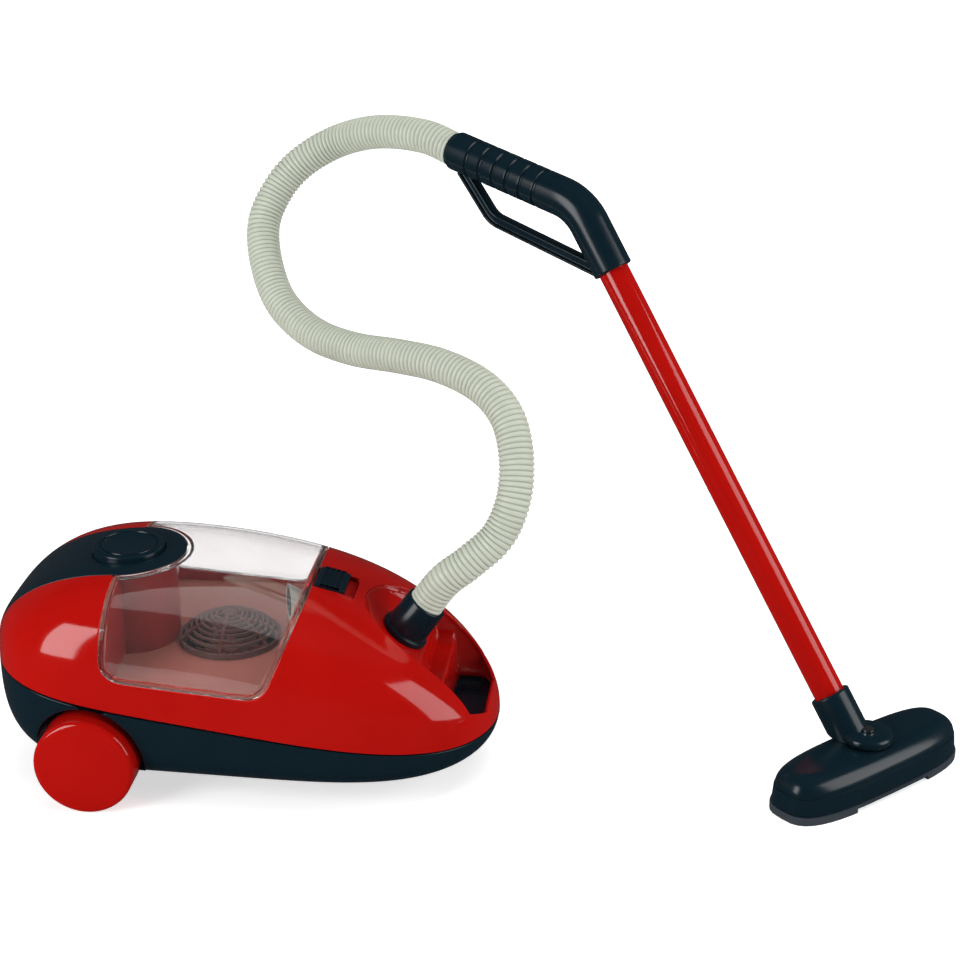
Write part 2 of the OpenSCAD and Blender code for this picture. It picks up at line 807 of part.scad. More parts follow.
// Motor and fan under the grille
motor_d = 26;
motor_h = 34;
motor_nose_d = 8;
motor_nose_h = 2;
cradle_t = 2;
cradle_flange_d = 44;
cradle_h = 26;
shaft_d = 2;
shaft_top_z = 74;
fan_d = 52;
fan_plate_t = 1.5;
fan_low_z = 62;
blade_h = 9;
blade_t = 1.4;
blade_r = 24;
blade_count = 9;
blade_steps = 6;
blade_end = 40;
fan_hub_d = 10;
blade_c = [fan_hub_d / 2 - blade_t, -blade_r];
cradle_z = floor_z + seat_gap;
motor_z = cradle_z + cradle_t;
module motor_cradle() {
    color(grey) at_canister() translate([fan_x, 0, cradle_z]) difference() {
        union() {
            cylinder(d = cradle_flange_d, h = cradle_t);
            cylinder(d = motor_d + 2 * wall, h = cradle_h);
        }
        translate([0, 0, cradle_t]) cylinder(d = motor_d + 2 * run_gap, h = cradle_h);
    }
}
module motor() {
    color(steel) at_canister() translate([fan_x, 0, motor_z]) difference() {
        union() {
            cylinder(d = motor_d, h = motor_h);
            cylinder(d = motor_nose_d, h = motor_h + motor_nose_h);
        }
        translate([0, 0, motor_h / 2]) cylinder(d = shaft_d + 2 * run_gap, h = motor_h);
    }
}
module motor_shaft() {
    low = motor_z + motor_h / 2 + free_gap;
    color(steel) at_canister() translate([fan_x, 0, low]) cylinder(d = shaft_d, h = shaft_top_z - low);
}
module fan() {
    color(cream) at_canister() translate([fan_x, 0, fan_low_z]) difference() {
        union() {
            cylinder(d = fan_d, h = fan_plate_t);
            cylinder(d = fan_hub_d, h = fan_plate_t + blade_h);
            for (k = [0 : blade_count - 1]) rotate([0, 0, 360 * k / blade_count])
                translate([0, 0, fan_plate_t / 2]) linear_extrude(fan_plate_t / 2 + blade_h - blade_t)
                    polygon(concat(
                        arc(blade_c, blade_r + blade_t / 2, 90, blade_end, blade_steps),
                        arc(blade_c, blade_r - blade_t / 2, blade_end, 90, blade_steps)
                    ));
        }
        translate([0, 0, -over]) cylinder(d = shaft_d, h = crown_h);
    }
}

// Battery tray, cells, contacts and door
contact_t = 0.5;
contact_h = 10;
module battery_tray() {
    color(grey) at_canister() translate([0, 0, floor_z + seat_gap]) difference() {
        linear_extrude(bay_h + bay_wall) bay_outline(0);
        translate([bay_x - bay_w / 2, -bay_l / 2, -over]) cube([bay_w, bay_l, bay_h + over]);
        translate([bay_x + bay_w / 2 + door_tail / 2, 0, -over]) cylinder(d = screw_d, h = bay_h);
    }
}
module batteries() {
    for (k = [0 : cell_count - 1])
        color(black) at_canister()
            translate([bay_x + (k - (cell_count - 1) / 2) * cell_pitch, -cell_l / 2, floor_z + cell_d / 2])
                rotate([-90, 0, 0]) cylinder(d = cell_d, h = cell_l);
}
module battery_contacts() {
    contact_y = bay_l / 2 - contact_t;
    color(brass) at_canister() both_sides()
        translate([bay_x - bay_w / 2 + wall, contact_y, floor_z + (bay_h - contact_h) / 2])
            cube([bay_w - 2 * wall, contact_t, contact_h]);
}
module battery_door() {
    color(navy) at_canister() difference() {
        translate([0, 0, base_z]) linear_extrude(wall) door_outline(-edge_gap / 2);
        translate([bay_x + bay_w / 2 + door_tail / 2, 0, 0]) {
            cylinder(d = screw_d + 2 * run_gap, h = crown_h);
            cylinder(d = screw_head_d + 2 * free_gap, h = base_z + screw_head_h / 2);
        }
    }
}

// Screws: a pan head and a plain shank
module screw(l) {
    cylinder(d = screw_head_d, h = screw_head_h);
    cylinder(d = screw_d, h = l);
}
door_screw_l = 11;
module door_screw() {
    color(steel) at_canister()
        translate([bay_x + bay_w / 2 + door_tail / 2, 0, base_z - screw_head_h / 2]) screw(door_screw_l);
}
screw_seat = 7;
function screw_floor_z(x) = keel_z(x) + screw_seat;
module housing_screws() {
    color(steel) at_canister() at_screws() translate([0, 0, screw_floor_z($post_x)])
        screw(belt_z($post_x) + post_rise / 2 - screw_floor_z($post_x));
}

// Rear axle, pressed into both wheels and turning in the base
axle_end = 7;
module rear_axle() {
    l = track_w - 2 * axle_end;
    color(steel) at_canister() translate([wheel_x, -l / 2, axle_z]) rotate([-90, 0, 0])
        cylinder(d = axle_d, h = l);
}

// Rear wheel: a closed, softly domed face over a hollow rim; Z runs from the inner side to the face
wheel_face_t = 3;
wheel_dome = 1.5;
wheel_edge_r = 4;
wheel_rim_t = 3.5;
wheel_hub_d = 16;
wheel_ribs = 6;
edge_steps = 5;
module wheel() {
    r = wheel_d / 2;
    cavity = wheel_w - wheel_face_t - wheel_dome;
    difference() {
        rotate_extrude() polygon(concat(
            [[0, 0], [r, 0]],
            arc([r - wheel_edge_r, wheel_w - wheel_dome - wheel_edge_r], wheel_edge_r, 0, 90, edge_steps),
            [[r / 2, wheel_w - wheel_dome / 4], [0, wheel_w]]
        ));
        difference() {
            translate([0, 0, -over]) cylinder(r = r - wheel_rim_t, h = cavity + over);
            translate([0, 0, -2 * over]) cylinder(d = wheel_hub_d, h = wheel_w);
            for (k = [0 : wheel_ribs - 1]) rotate([0, 0, 360 * k / wheel_ribs])
                translate([0, -wall / 2, over]) cube([r, wall, wheel_w]);
        }
        translate([0, 0, -over]) cylinder(d = axle_d, h = wheel_w - axle_end + over);
    }
}
module wheel_left() {
    color(red) at_canister() translate([wheel_x, track_w / 2 - wheel_w, axle_z]) rotate([-90, 0, 0])
        wheel();
}
module wheel_right() {
    color(red) at_canister() translate([wheel_x, wheel_w - track_w / 2, axle_z]) rotate([90, 0, 0])
        wheel();
}

// Swivel caster under the nose
caster_disc_t = 3;
caster_disc_d = well_d - 4 * free_gap;
caster_arm_t = 3;
caster_arm_w = 12;
caster_pin_d = 3;
caster_trail = 5;
clip_t = 1.2;
clip_d = 11;
module at_caster() {
    at_canister() translate([caster_x, 0, 0]) children();
}
module caster_fork() {
    top = well_h - free_gap;
    stem_top = well_h + stem_boss_h + clip_t + 2 * free_gap;
    arm_y = caster_w / 2 + free_gap;
    color(navy) at_caster() difference() {
        union() {
            translate([0, 0, top - caster_disc_t]) cylinder(d = caster_disc_d, h = caster_disc_t);
            translate([0, 0, top - over]) cylinder(d = stem_d, h = stem_top - top + over);
            both_sides() translate([-caster_trail - caster_arm_w / 2, arm_y, caster_d / 2])
                cube([caster_arm_w, caster_arm_t, top - caster_d / 2 - over]);
            both_sides() translate([-caster_trail, arm_y, caster_d / 2]) rotate([-90, 0, 0])
                cylinder(d = caster_arm_w, h = caster_arm_t);
        }
        translate([-caster_trail, 0, caster_d / 2]) rotate([90, 0, 0])
            cylinder(d = caster_pin_d, h = body_w, center = true);
    }
}
module caster_pin() {
    l = caster_w + 2 * free_gap + 2 * caster_arm_t;
    color(steel) at_caster() translate([-caster_trail, 0, caster_d / 2]) rotate([90, 0, 0])
        cylinder(d = caster_pin_d, h = l, center = true);
}
module caster_wheel() {
    color(navy) at_caster() translate([-caster_trail, 0, caster_d / 2]) rotate([90, 0, 0])
        translate([0, 0, -caster_w / 2]) tube(caster_d, caster_pin_d + 2 * run_gap, caster_w);
}
module caster_clip() {
    color(steel) at_caster() translate([0, 0, well_h + stem_boss_h + free_gap]) tube(clip_d, stem_d, clip_t);
}

// Hose cuff: plug, flange and barrel on one axis, with the hose let into the barrel
cuff_flange_h = 4;
cuff_d = 27;
cuff_depth = 8;
cuff_chamfer = 1.2;
hose_gap = 0.25;
module hose_cuff() {
    color(navy) at_canister() at_socket() rotate_extrude() polygon([
        [hose_bore / 2, -plug_l],
        [plug_d / 2, -plug_l],
        [plug_d / 2, seat_gap],
        [cuff_flange_d / 2, seat_gap],
        [cuff_flange_d / 2, cuff_flange_h - cuff_chamfer],
        [cuff_flange_d / 2 - cuff_chamfer, cuff_flange_h],
        [cuff_d / 2, cuff_flange_h],
        [cuff_d / 2, cuff_l - cuff_chamfer],
        [cuff_d / 2 - cuff_chamfer / 2, cuff_l],
        [hose_d / 2 + hose_gap, cuff_l],
        [hose_d / 2 + hose_gap, cuff_l - cuff_depth],
        [hose_bore / 2, cuff_l - cuff_depth],
    ]);
}

// Hose route: both ends run straight for one diameter, the rest is an S between the socket and the handle
ferrule_flange_t = 1.5;
rib_depth = 1.1;
hose_sides = 8;
bore_rings = 6;
route_steps = 10;
socket_axis = [cos(socket_tilt), 0, sin(socket_tilt)];
grip_axis = [-cos(grip_slope) * cos(wand_heading), cos(grip_slope) * sin(wand_heading), sin(grip_slope)];
hose_start = [socket_x, 0, socket_z] + (cuff_l - cuff_depth) * socket_axis;
hose_end = [nozzle_x + grip_end_x * cos(wand_heading), nozzle_y - grip_end_x * sin(wand_heading), grip_end_z]
    + (ferrule_flange_t + free_gap) * grip_axis;
hose_straight_share = 1.15;
hose_straight = hose_straight_share * hose_d;
hose_points = [
    [304, 2, 141], [322, 8, 158], [331, 16, 181], [331, 29, 206], [323, 44, 226],
    [305, 60, 239], [277, 78, 245], [247, 96, 244], [211, 119, 240], [180, 140, 243],
    [155, 162, 256], [141, 183, 277], [136, 202, 300], [144, 216, 321], [160, 223, 339],
    [186, 222, 355], [217, 208, 366],
];
route = concat(
    [hose_start, hose_start + hose_straight * socket_axis],
    hose_points,
    [hose_end + hose_straight * grip_axis, hose_end]
);
function spline(p, i, t) =
    let (a = p[max(0, i - 1)], b = p[i], c = p[i + 1], d = p[min(len(p) - 1, i + 2)])
    b + t / 2 * (c - a + t * (2 * a - 5 * b + 4 * c - d + t * (3 * (b - c) + d - a)));
fine_route = concat(
    [for (i = [0 : len(route) - 2], k = [0 : route_steps - 1]) spline(route, i, k / route_steps)],
    [route[len(route) - 1]]
);
function route_step(i) = i < len(fine_route) - 1 ? norm(fine_route[i + 1] - fine_route[i]) : 0;
route_way = [for (i = 0, s = 0; i < len(fine_route); s = s + route_step(i), i = i + 1) s];
hose_l = route_way[len(route_way) - 1];
route_tables = [for (axis = [0 : 2])
    [for (i = [0 : len(fine_route) - 1]) [route_way[i], fine_route[i][axis]]]];
function on_route(s) = [for (axis = [0 : 2]) lookup(s, route_tables[axis])];
hose_rings = 2 * hose_ribs;
hose_line = [for (i = [0 : hose_rings]) on_route(hose_l * i / hose_rings)];
function unit(v) = v / norm(v);
hose_dirs = [for (i = [0 : hose_rings])
    i == 0 ? socket_axis
    : i == hose_rings ? -grip_axis
    : unit(hose_line[i + 1] - hose_line[i - 1])];
// Side vectors carried along the route without twist
function across(v, i) = i <= hose_rings ? unit(v - (v * hose_dirs[i]) * hose_dirs[i]) : v;
hose_sides_v = [for (i = 0, v = [0, 1, 0]; i <= hose_rings; i = i + 1, v = across(v, i)) v];
function hose_ring(i, r) = [for (j = [0 : hose_sides - 1])
    let (a = 360 * j / hose_sides)
    hose_line[i] + r * (cos(a) * hose_sides_v[i] + sin(a) * cross(hose_dirs[i], hose_sides_v[i]))];
function rib_r(i) = i % 2 == 0 ? hose_d / 2 - rib_depth : hose_d / 2;
// Triangles between rings of n points, from point index at
function ring_faces(rings, at, n, out) = [for (i = [0 : rings - 1], j = [0 : n - 1], half = [0, 1])
    let (a = at + i * n + j, b = at + i * n + (j + 1) % n)
    let (f = half == 0 ? [a, a + n, b + n] : [a, b + n, b])
    out ? f : [f[2], f[1], f[0]]];
module hose() {
    n = hose_sides;
    bore_count = floor(hose_rings / bore_rings);
    inner = n * (hose_rings + 1);
    last = n * hose_rings;
    inner_last = inner + n * bore_count;
    color(cream) at_canister() polyhedron(
        points = concat(
            [for (i = [0 : hose_rings]) each hose_ring(i, rib_r(i))],
            [for (i = [0 : bore_count]) each hose_ring(round(i * hose_rings / bore_count), hose_bore / 2)]
        ),
        faces = concat(
            ring_faces(hose_rings, 0, n, true),
            ring_faces(bore_count, inner, n, false),
            [for (j = [0 : n - 1], half = [0, 1]) let (k = (j + 1) % n)
                half == 0 ? [j, k, inner + k] : [j, inner + k, inner + j]],
            [for (j = [0 : n - 1], half = [0, 1]) let (k = (j + 1) % n)
                half == 0 ? [last + k, last + j, inner_last + j] : [last + k, inner_last + j, inner_last + k]]
        )
    );
}

// Handle: grip, bend and wand socket on one bent axis, in the wand's frame, with the guard bar below
turn = wand_slope - grip_slope;
bend_back = bend_r * tan(turn / 2);
// The legs lap the bend's ends, and the bend is a hair thinner there
bend_lap = 1.5;
bend_step = 0.6;
ferrule_d = 20;
ferrule_l = 18;
air_d = 16;
wand_in = 30;
groove_pitch = 11.25;
groove_end = 17.4;
grip_groove_w = 2;
grip_groove_deep = 1.2;
module at_corner() {
    at_wand() translate([corner_x, 0, corner_z]) children();
}
// Z runs from the corner along the grip, towards the hose
module along_grip(d) {
    rotate([0, grip_slope - 90, 0]) translate([0, 0, d]) children();
}
// Z runs from the corner down the wand
module down_wand(d) {
    rotate([0, 90 + wand_slope, 0]) translate([0, 0, d]) children();
}
module bend(d) {
    centre = [-bend_back * cos(grip_slope), bend_back * sin(grip_slope)]
        - bend_r * [sin(grip_slope), cos(grip_slope)];
    translate([centre.x, 0, centre.y]) rotate([90, 0, 0]) rotate([0, 0, 90 - wand_slope])
        rotate_extrude(angle = turn) translate([bend_r, 0]) circle(d = d);
}
module grip() {
    r = grip_d / 2;
    along_grip(0) rotate_extrude() polygon(concat(
        [[0, bend_back - bend_lap], [r, bend_back - bend_lap]],
        [for (k = [grip_grooves - 1 : -1 : 0]) let (z = grip_l - groove_end - k * groove_pitch) each [
            [r, z - grip_groove_w / 2],
            [r - grip_groove_deep, z - grip_groove_w / 2],
            [r - grip_groove_deep, z + grip_groove_w / 2],
            [r, z + grip_groove_w / 2],
        ]],
        [[r, grip_l], [0, grip_l]]
    ));
}

// Guard bar: a ribbed bar from under the grip's end, round a corner, to the foot of the wand socket
guard_w = 8;
guard_t = 8;
guard_rim = 1.6;
guard_web = 3;
guard_corner_r = 18;
guard_steps = 8;
guard_from = [-95, 7.8];
guard_corner = [-69.8, -21.6];
guard_to = [17, -41.4];
function guard_side(side) =
    let (u = (guard_corner - guard_from) / norm(guard_corner - guard_from))
    let (v = (guard_to - guard_corner) / norm(guard_to - guard_corner))
    let (a0 = atan2(u.y, u.x), a1 = atan2(v.y, v.x))
    let (back = guard_corner_r * tan((a1 - a0) / 2))
    let (c = guard_corner - back * u + guard_corner_r * [-u.y, u.x])
    concat(
        [guard_from + side * [-u.y, u.x]],
        arc(c, guard_corner_r - side, a0 - 90, a1 - 90, guard_steps),
        [guard_to + side * [-v.y, v.x]]
    );
function reversed(p) = [for (i = [len(p) - 1 : -1 : 0]) p[i]];
module guard_bar(w, t) {
    rotate([90, 0, 0]) linear_extrude(t, center = true)
        polygon(concat(guard_side(w / 2), reversed(guard_side(-w / 2))));
}
module guard() {
    difference() {
        guard_bar(guard_w, guard_t);
        both_sides() translate([0, guard_web / 2 + guard_t / 2, 0])
            guard_bar(guard_w - 2 * guard_rim, guard_t);
    }
}
module handle() {
    color(navy) at_corner() difference() {
        union() {
            grip();
            bend(grip_d - bend_step);
            down_wand(bend_back - bend_lap) cylinder(d = grip_d, h = socket_leg - bend_back + bend_lap);
            guard();
        }
        bend(air_d - bend_step);
        along_grip(bend_back - bend_lap) cylinder(d = air_d, h = grip_l);
        along_grip(grip_l - ferrule_l - free_gap)
            cylinder(d = ferrule_d + 2 * run_gap, h = ferrule_l + grip_l);
        down_wand(bend_back - bend_lap) cylinder(d = air_d, h = socket_leg);
        down_wand(socket_leg - wand_in - free_gap)
            cylinder(d = wand_d + 2 * run_gap, h = socket_leg + wand_in);
    }
}

// Ferrule: a swivel sleeve on the hose's end that turns in the grip
spigot_l = 9;
module hose_ferrule() {
    spigot_d = hose_bore * cos(180 / hose_sides) - 2 * hose_gap;
    color(navy) at_corner() along_grip(grip_l) difference() {
        union() {
            translate([0, 0, -ferrule_l]) cylinder(d = ferrule_d, h = ferrule_l + free_gap);
            translate([0, 0, free_gap]) cylinder(d = hose_d, h = ferrule_flange_t);
            translate([0, 0, free_gap]) cylinder(d = spigot_d, h = ferrule_flange_t + spigot_l);
        }
        translate([0, 0, -ferrule_l - over])
            cylinder(d = spigot_d - wall, h = ferrule_l + spigot_l + crown_h);
    }
}

// Wand: a plain tube from the neck to the handle
neck_in = 20;
module wand_tube() {
    color(red) at_wand() along_wand(neck_top_d - neck_in)
        tube(wand_d, wand_bore, neck_in + wand_show + wand_in);
}

// Neck: a sleeve for the wand with a round foot that turns on the nozzle
foot_d = 33;
foot_t = 7;
foot_steps = 6;
foot_gap = 0.3;
pin_d = 5;
pin_head_d = 8;
pin_head_t = 1.2;
module neck_foot() {
    r = foot_t / 2;
    rotate_extrude() polygon(concat(
        [[0, 0]],
        arc([foot_d / 2 - r, r], r, -90, 90, foot_steps),
        [[0, foot_t]]
    ));
}
module nozzle_neck() {
    foot_z = nozzle_h + foot_gap;
    color(navy) at_wand() difference() {
        union() {
            difference() {
                along_wand(neck_low_d) cylinder(d = neck_d, h = neck_top_d - neck_low_d);
                translate([-nozzle_l / 2, -nozzle_l / 2, foot_z - nozzle_l]) cube(nozzle_l);
            }
            translate([0, 0, foot_z]) neck_foot();
        }
        along_wand(neck_top_d - neck_in) cylinder(d = wand_d + 2 * run_gap, h = neck_in + over);
        cylinder(d = pin_d + 2 * run_gap, h = foot_z + foot_t + over);
        translate([0, 0, foot_z + foot_t]) cylinder(d = pin_head_d + 2 * free_gap, h = crown_h);
    }
}

// Nozzle: a domed cover, a sole plate with lips at both ends and a swivel pin
skirt_h = 12;
skirt_in = 1;
dome_in = 13;
dome_steps = 5;
sole_t = 2.4;
cover_z = lip_h + sole_t;
pin_boss_d = 12;
post_y_share = 0.7;
nozzle_post_d = 8;
function cover_levels(g) = concat(
    [[g, cover_z]],
    [for (k = [0 : dome_steps])
        let (a = 90 * k / dome_steps, dome_rise = nozzle_h - cover_z - skirt_h - g)
        [skirt_in + g + dome_in * (1 - cos(a)), cover_z + skirt_h + dome_rise * sin(a)]]
);
module cover_solid(g) {
    levels = cover_levels(g);
    n = plan_steps;
    polyhedron(
        points = [for (level = levels, p = nozzle_plan(level[0])) [p.x, p.y, level[1]]],
        faces = concat(
            ring_faces(len(levels) - 1, 0, n, true),
            [[for (j = [0 : n - 1]) j]],
            [[for (j = [n - 1 : -1 : 0]) (len(levels) - 1) * n + j]]
        )
    );
}
module at_nozzle_posts() {
    for (side = [-1, 1]) translate([0, side * post_y_share * nozzle_l / 2, 0]) children();
}
module nozzle_cover() {
    color(navy) at_nozzle() difference() {
        union() {
            difference() {
                cover_solid(0);
                translate([0, 0, -seat_gap]) cover_solid(wall);
            }
            intersection() {
                cover_solid(0);
                union() {
                    cylinder(d = pin_boss_d, h = nozzle_h);
                    at_nozzle_posts() cylinder(d = nozzle_post_d, h = nozzle_h);
                }
            }
        }
        cylinder(d = pin_d, h = crown_h);
        at_nozzle_posts() cylinder(d = screw_d, h = nozzle_h - 2 * wall);
    }
}
module swivel_pin() {
    top = nozzle_h + foot_gap + foot_t;
    color(steel) at_nozzle() {
        translate([0, 0, cover_z]) cylinder(d = pin_d, h = top - cover_z + foot_gap);
        translate([0, 0, top + foot_gap]) cylinder(d = pin_head_d, h = pin_head_t);
    }
}

// Sole: a plate with a suction slot, on a lip that follows the outline and is open at the middle
sole_out = 0.8;
lip_w = 5;
lip_open = 66;
slot_l = 110;
slot_w = 12;
module nozzle_sole() {
    color(slate) at_nozzle() difference() {
        union() {
            translate([0, 0, lip_h]) linear_extrude(sole_t) polygon(nozzle_plan(-sole_out));
            difference() {
                linear_extrude(lip_h + sole_t / 2) polygon(nozzle_plan(-sole_out));
                translate([0, 0, -over]) linear_extrude(lip_h + over) polygon(nozzle_plan(lip_w));
                translate([-nozzle_w, -lip_open / 2, -over]) cube([2 * nozzle_w, lip_open, lip_h + over]);
            }
        }
        translate([-slot_w / 2, -slot_l / 2, -over]) cube([slot_w, slot_l, nozzle_h]);
        at_nozzle_posts() cylinder(d = screw_d + 2 * run_gap, h = nozzle_h);
    }
}
nozzle_screw_l = 14;
module nozzle_screws() {
    color(steel) at_nozzle() at_nozzle_posts() translate([0, 0, lip_h - screw_head_h]) screw(nozzle_screw_l);
}

base_shell();
top_shell();
control_panel();
clear_lid();
dust_tray();
filter_grille();
inlet_duct();
power_button();
button_spring();
switch_plate();
switch_body();
lid_latch();
motor_cradle();
motor();
motor_shaft();
fan();
battery_tray();
batteries();
battery_contacts();
battery_door();
door_screw();
housing_screws();
rear_axle();
wheel_left();
wheel_right();
caster_fork();
caster_pin();
caster_wheel();
caster_clip();
hose_cuff();
hose();
hose_ferrule();
handle();
wand_tube();
nozzle_neck();
swivel_pin();
nozzle_cover();
nozzle_sole();
nozzle_screws();
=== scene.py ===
"""Fine meshes, finishes, light and camera of a toy canister vacuum cleaner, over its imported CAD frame.

Lengths are millimetres in the frames of the CAD source; each mesh is scaled to metres where it is made.
"""
from math import atan2, cos, pi, radians, sin, tan

import bmesh
import bpy
import numpy as np
from mathutils import Matrix, Vector


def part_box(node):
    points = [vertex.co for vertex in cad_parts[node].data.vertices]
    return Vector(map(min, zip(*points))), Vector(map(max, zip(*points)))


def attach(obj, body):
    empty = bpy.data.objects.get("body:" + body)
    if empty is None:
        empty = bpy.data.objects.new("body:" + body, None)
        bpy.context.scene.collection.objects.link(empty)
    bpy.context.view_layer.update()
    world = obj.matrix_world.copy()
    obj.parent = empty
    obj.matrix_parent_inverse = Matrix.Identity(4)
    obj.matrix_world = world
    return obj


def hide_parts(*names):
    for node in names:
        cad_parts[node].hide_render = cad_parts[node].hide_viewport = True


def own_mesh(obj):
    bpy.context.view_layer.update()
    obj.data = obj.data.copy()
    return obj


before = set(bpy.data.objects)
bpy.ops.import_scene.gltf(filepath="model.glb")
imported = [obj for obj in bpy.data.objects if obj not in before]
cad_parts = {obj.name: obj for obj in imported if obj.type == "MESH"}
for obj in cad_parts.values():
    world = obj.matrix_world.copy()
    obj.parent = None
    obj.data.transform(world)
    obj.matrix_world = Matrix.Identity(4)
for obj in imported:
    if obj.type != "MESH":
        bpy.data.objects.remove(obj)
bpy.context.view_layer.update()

MM = 0.001

# Housing, as in the CAD source
BODY_L, BODY_W, CROWN_H, BASE_Z = 324.0, 176.0, 141.0, 16.0
BELT_REAR_Z, BELT_NOSE_Z = 80.0, 36.0
WIDE_X, CROWN_X, NOSE_DROP, REAR_DROP = 141.0, 91.0, 64.0, 7.0
WALL, LID_T, EDGE_GAP = 2.4, 2.0, 0.4
SIDE_POWER, ROOF_POWER, SKIRT_POWER, FLOOR_POWER = 3.6, 2.9, 7.0, 3.4
# Power and root of the taper to the rear, then to the nose
WIDTH_TAPER, ROOF_TAPER, KEEL_TAPER = (4.2, 2.3, 4, 2), (4, 2.3, 4.5, 2), (5, 2.2, 6, 2.2)
NOSE_FALL, REAR_FALL = 2.2, 2
# Window, panel, button and latch
LID_REAR_X, LID_FRONT_X, LID_RAKE = 84.0, 206.0, 20.0
LID_FOOT_REAR_Z, LID_FOOT_FRONT_Z, LID_CORNER_R = 89.0, 80.5, 15.0
PANEL_X, PANEL_R, PANEL_REAR_W = 84.0, 37.5, 68.0
BUTTON_D, BUTTON_RISE, BUTTON_SKIN, BUTTON_TRAVEL = 46.0, 4.0, 2.4, 3.0
BUTTON_FLANGE_D, BUTTON_FLANGE_H, COLLAR_H, STEM_R, STEM_END = 50.0, 2.4, 20.0, 2.5, -26.0
SPRING_R, WIRE_D, SPRING_TURNS, SEAT_GAP = 8.0, 1.2, 7, 0.1
LATCH_SLOPE, LATCH_L, LATCH_W, LATCH_RIBS, LATCH_TRAVEL = radians(14), 20.0, 26.0, 5, 5.0
LATCH_SINK, LATCH_PROUD, LATCH_RIB_H = 3.6, 1.6, 1.2
# Scoop, socket and cuff
SCOOP_REAR_X, SCOOP_R, LIP_T = 238.0, 41.0, 5.0
STEP_X, LEDGE_X, LEDGE_Z, DECK_Z = 277.0, 291.0, 66.0, 34.0
SOCKET_X, SOCKET_Z, SOCKET_TILT = 262.0, 90.5, radians(55)
PLUG_D, CUFF_FLANGE_D, CUFF_FLANGE_H, CUFF_D, CUFF_L, CUFF_DEPTH = 24.0, 32.0, 4.0, 27.0, 27.0, 8.0
# Wheels, caster well and battery door
WHEEL_D, WHEEL_W, WHEEL_X, TRACK_W, ARCH_GAP = 64.0, 24.0, 73.0, 196.0, 4.0
CASTER_X, WELL_D, WELL_H = 256.0, 36.0, 27.0
DOOR_X0, DOOR_L, DOOR_W = 180.2, 54.6, 55.7
# Duct under the lid
DUCT_D, DUCT_BORE, DUCT_L, DUCT_SLOPE = 20.0, 16.0, 60.0, radians(25)
DUCT_MOUTH_X, DUCT_DROP, DUCT_CUT = 182.0, 31.0, 12.0
# Hose
HOSE_D, HOSE_BORE, HOSE_RIBS, RIB_DEPTH = 23.0, 18.0, 186, 1.1
HOSE_POINTS = [
    (304, 2, 141), (322, 8, 158), (331, 16, 181), (331, 29, 206), (323, 44, 226),
    (305, 60, 239), (277, 78, 245), (247, 96, 244), (211, 119, 240), (180, 140, 243),
    (155, 162, 256), (141, 183, 277), (136, 202, 300), (144, 216, 321), (160, 223, 339),
    (186, 222, 355), (217, 208, 366),
]
# Wand, handle and nozzle
NOZZLE_X, NOZZLE_Y, NOZZLE_HEADING, WAND_HEADING = 561.0, 2.0, radians(-45), radians(-31)
WAND_SLOPE, WAND_FOOT_Z, WAND_SHOW, WAND_D = radians(55), 12.0, 306.0, 20.0
NECK_LOW, NECK_TOP, NECK_D, NECK_IN, WAND_IN = 8.0, 51.0, 26.0, 20.0, 30.0
GRIP_D, GRIP_L, GRIP_SLOPE, BEND_R, SOCKET_LEG = 26.0, 103.0, radians(11), 36.0, 48.0
GROOVES, GROOVE_PITCH, GROOVE_END, GROOVE_W, GROOVE_DEEP = 6, 11.25, 17.4, 2.0, 1.2
NOZZLE_L, NOZZLE_W, NOZZLE_H, LIP_H, SOLE_T = 150.0, 50.0, 29.5, 3.0, 2.4
PLAN_POWER, SKIRT_H, SKIRT_IN, DOME_IN = 3.2, 12.0, 1.0, 13.0

# The canister's frame stands off the row frame by the place of its right rear wheel
low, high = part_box("wheel_right")
ORIGIN = Vector(((low.x + high.x) / 2 / MM - WHEEL_X, low.y / MM + TRACK_W / 2, 0))
CANISTER = Matrix.Translation(ORIGIN)


def turned(axis, angle):
    return Matrix.Rotation(angle, 4, axis)


FOOT = CANISTER @ Matrix.Translation((NOZZLE_X, NOZZLE_Y, 0))
WAND = FOOT @ turned("Z", WAND_HEADING)
NOZZLE = FOOT @ turned("Z", NOZZLE_HEADING)
ALONG_WAND = WAND @ Matrix.Translation((0, 0, WAND_FOOT_Z)) @ turned("Y", WAND_SLOPE - pi / 2)
SOCKET = CANISTER @ Matrix.Translation((SOCKET_X, 0, SOCKET_Z)) @ turned("Y", pi / 2 - SOCKET_TILT)
corner_d = NECK_TOP + WAND_SHOW + SOCKET_LEG
CORNER = ALONG_WAND @ Matrix.Translation((0, 0, corner_d)) @ turned("Y", pi / 2 - WAND_SLOPE)
ALONG_GRIP = CORNER @ turned("Y", GRIP_SLOPE - pi / 2)


# Finishes

def linear(hex_colour):
    """Linear RGBA of a hex sRGB colour."""
    values = [int(hex_colour[k:k + 2], 16) / 255 for k in (1, 3, 5)]
    return [v / 12.92 if v < 0.04045 else ((v + 0.055) / 1.055) ** 2.4 for v in values] + [1]


def noise(tree, place, scale, detail):
    """Noise over a place socket."""
    node = tree.nodes.new("ShaderNodeTexNoise")
    node.inputs["Scale"].default_value = scale
    node.inputs["Detail"].default_value = detail
    tree.links.new(place, node.inputs["Vector"])
    return node.outputs["Fac"]


def map_range(tree, source, start=0.0, end=1.0, low=0.0, high=1.0, smooth=False):
    """A socket's values taken from start..end to low..high."""
    node = tree.nodes.new("ShaderNodeMapRange")
    if smooth:
        node.interpolation_type = "SMOOTHSTEP"
    for name, value in (("From Min", start), ("From Max", end), ("To Min", low), ("To Max", high)):
        node.inputs[name].default_value = value
    tree.links.new(source, node.inputs["Value"])
    return node.outputs["Result"]


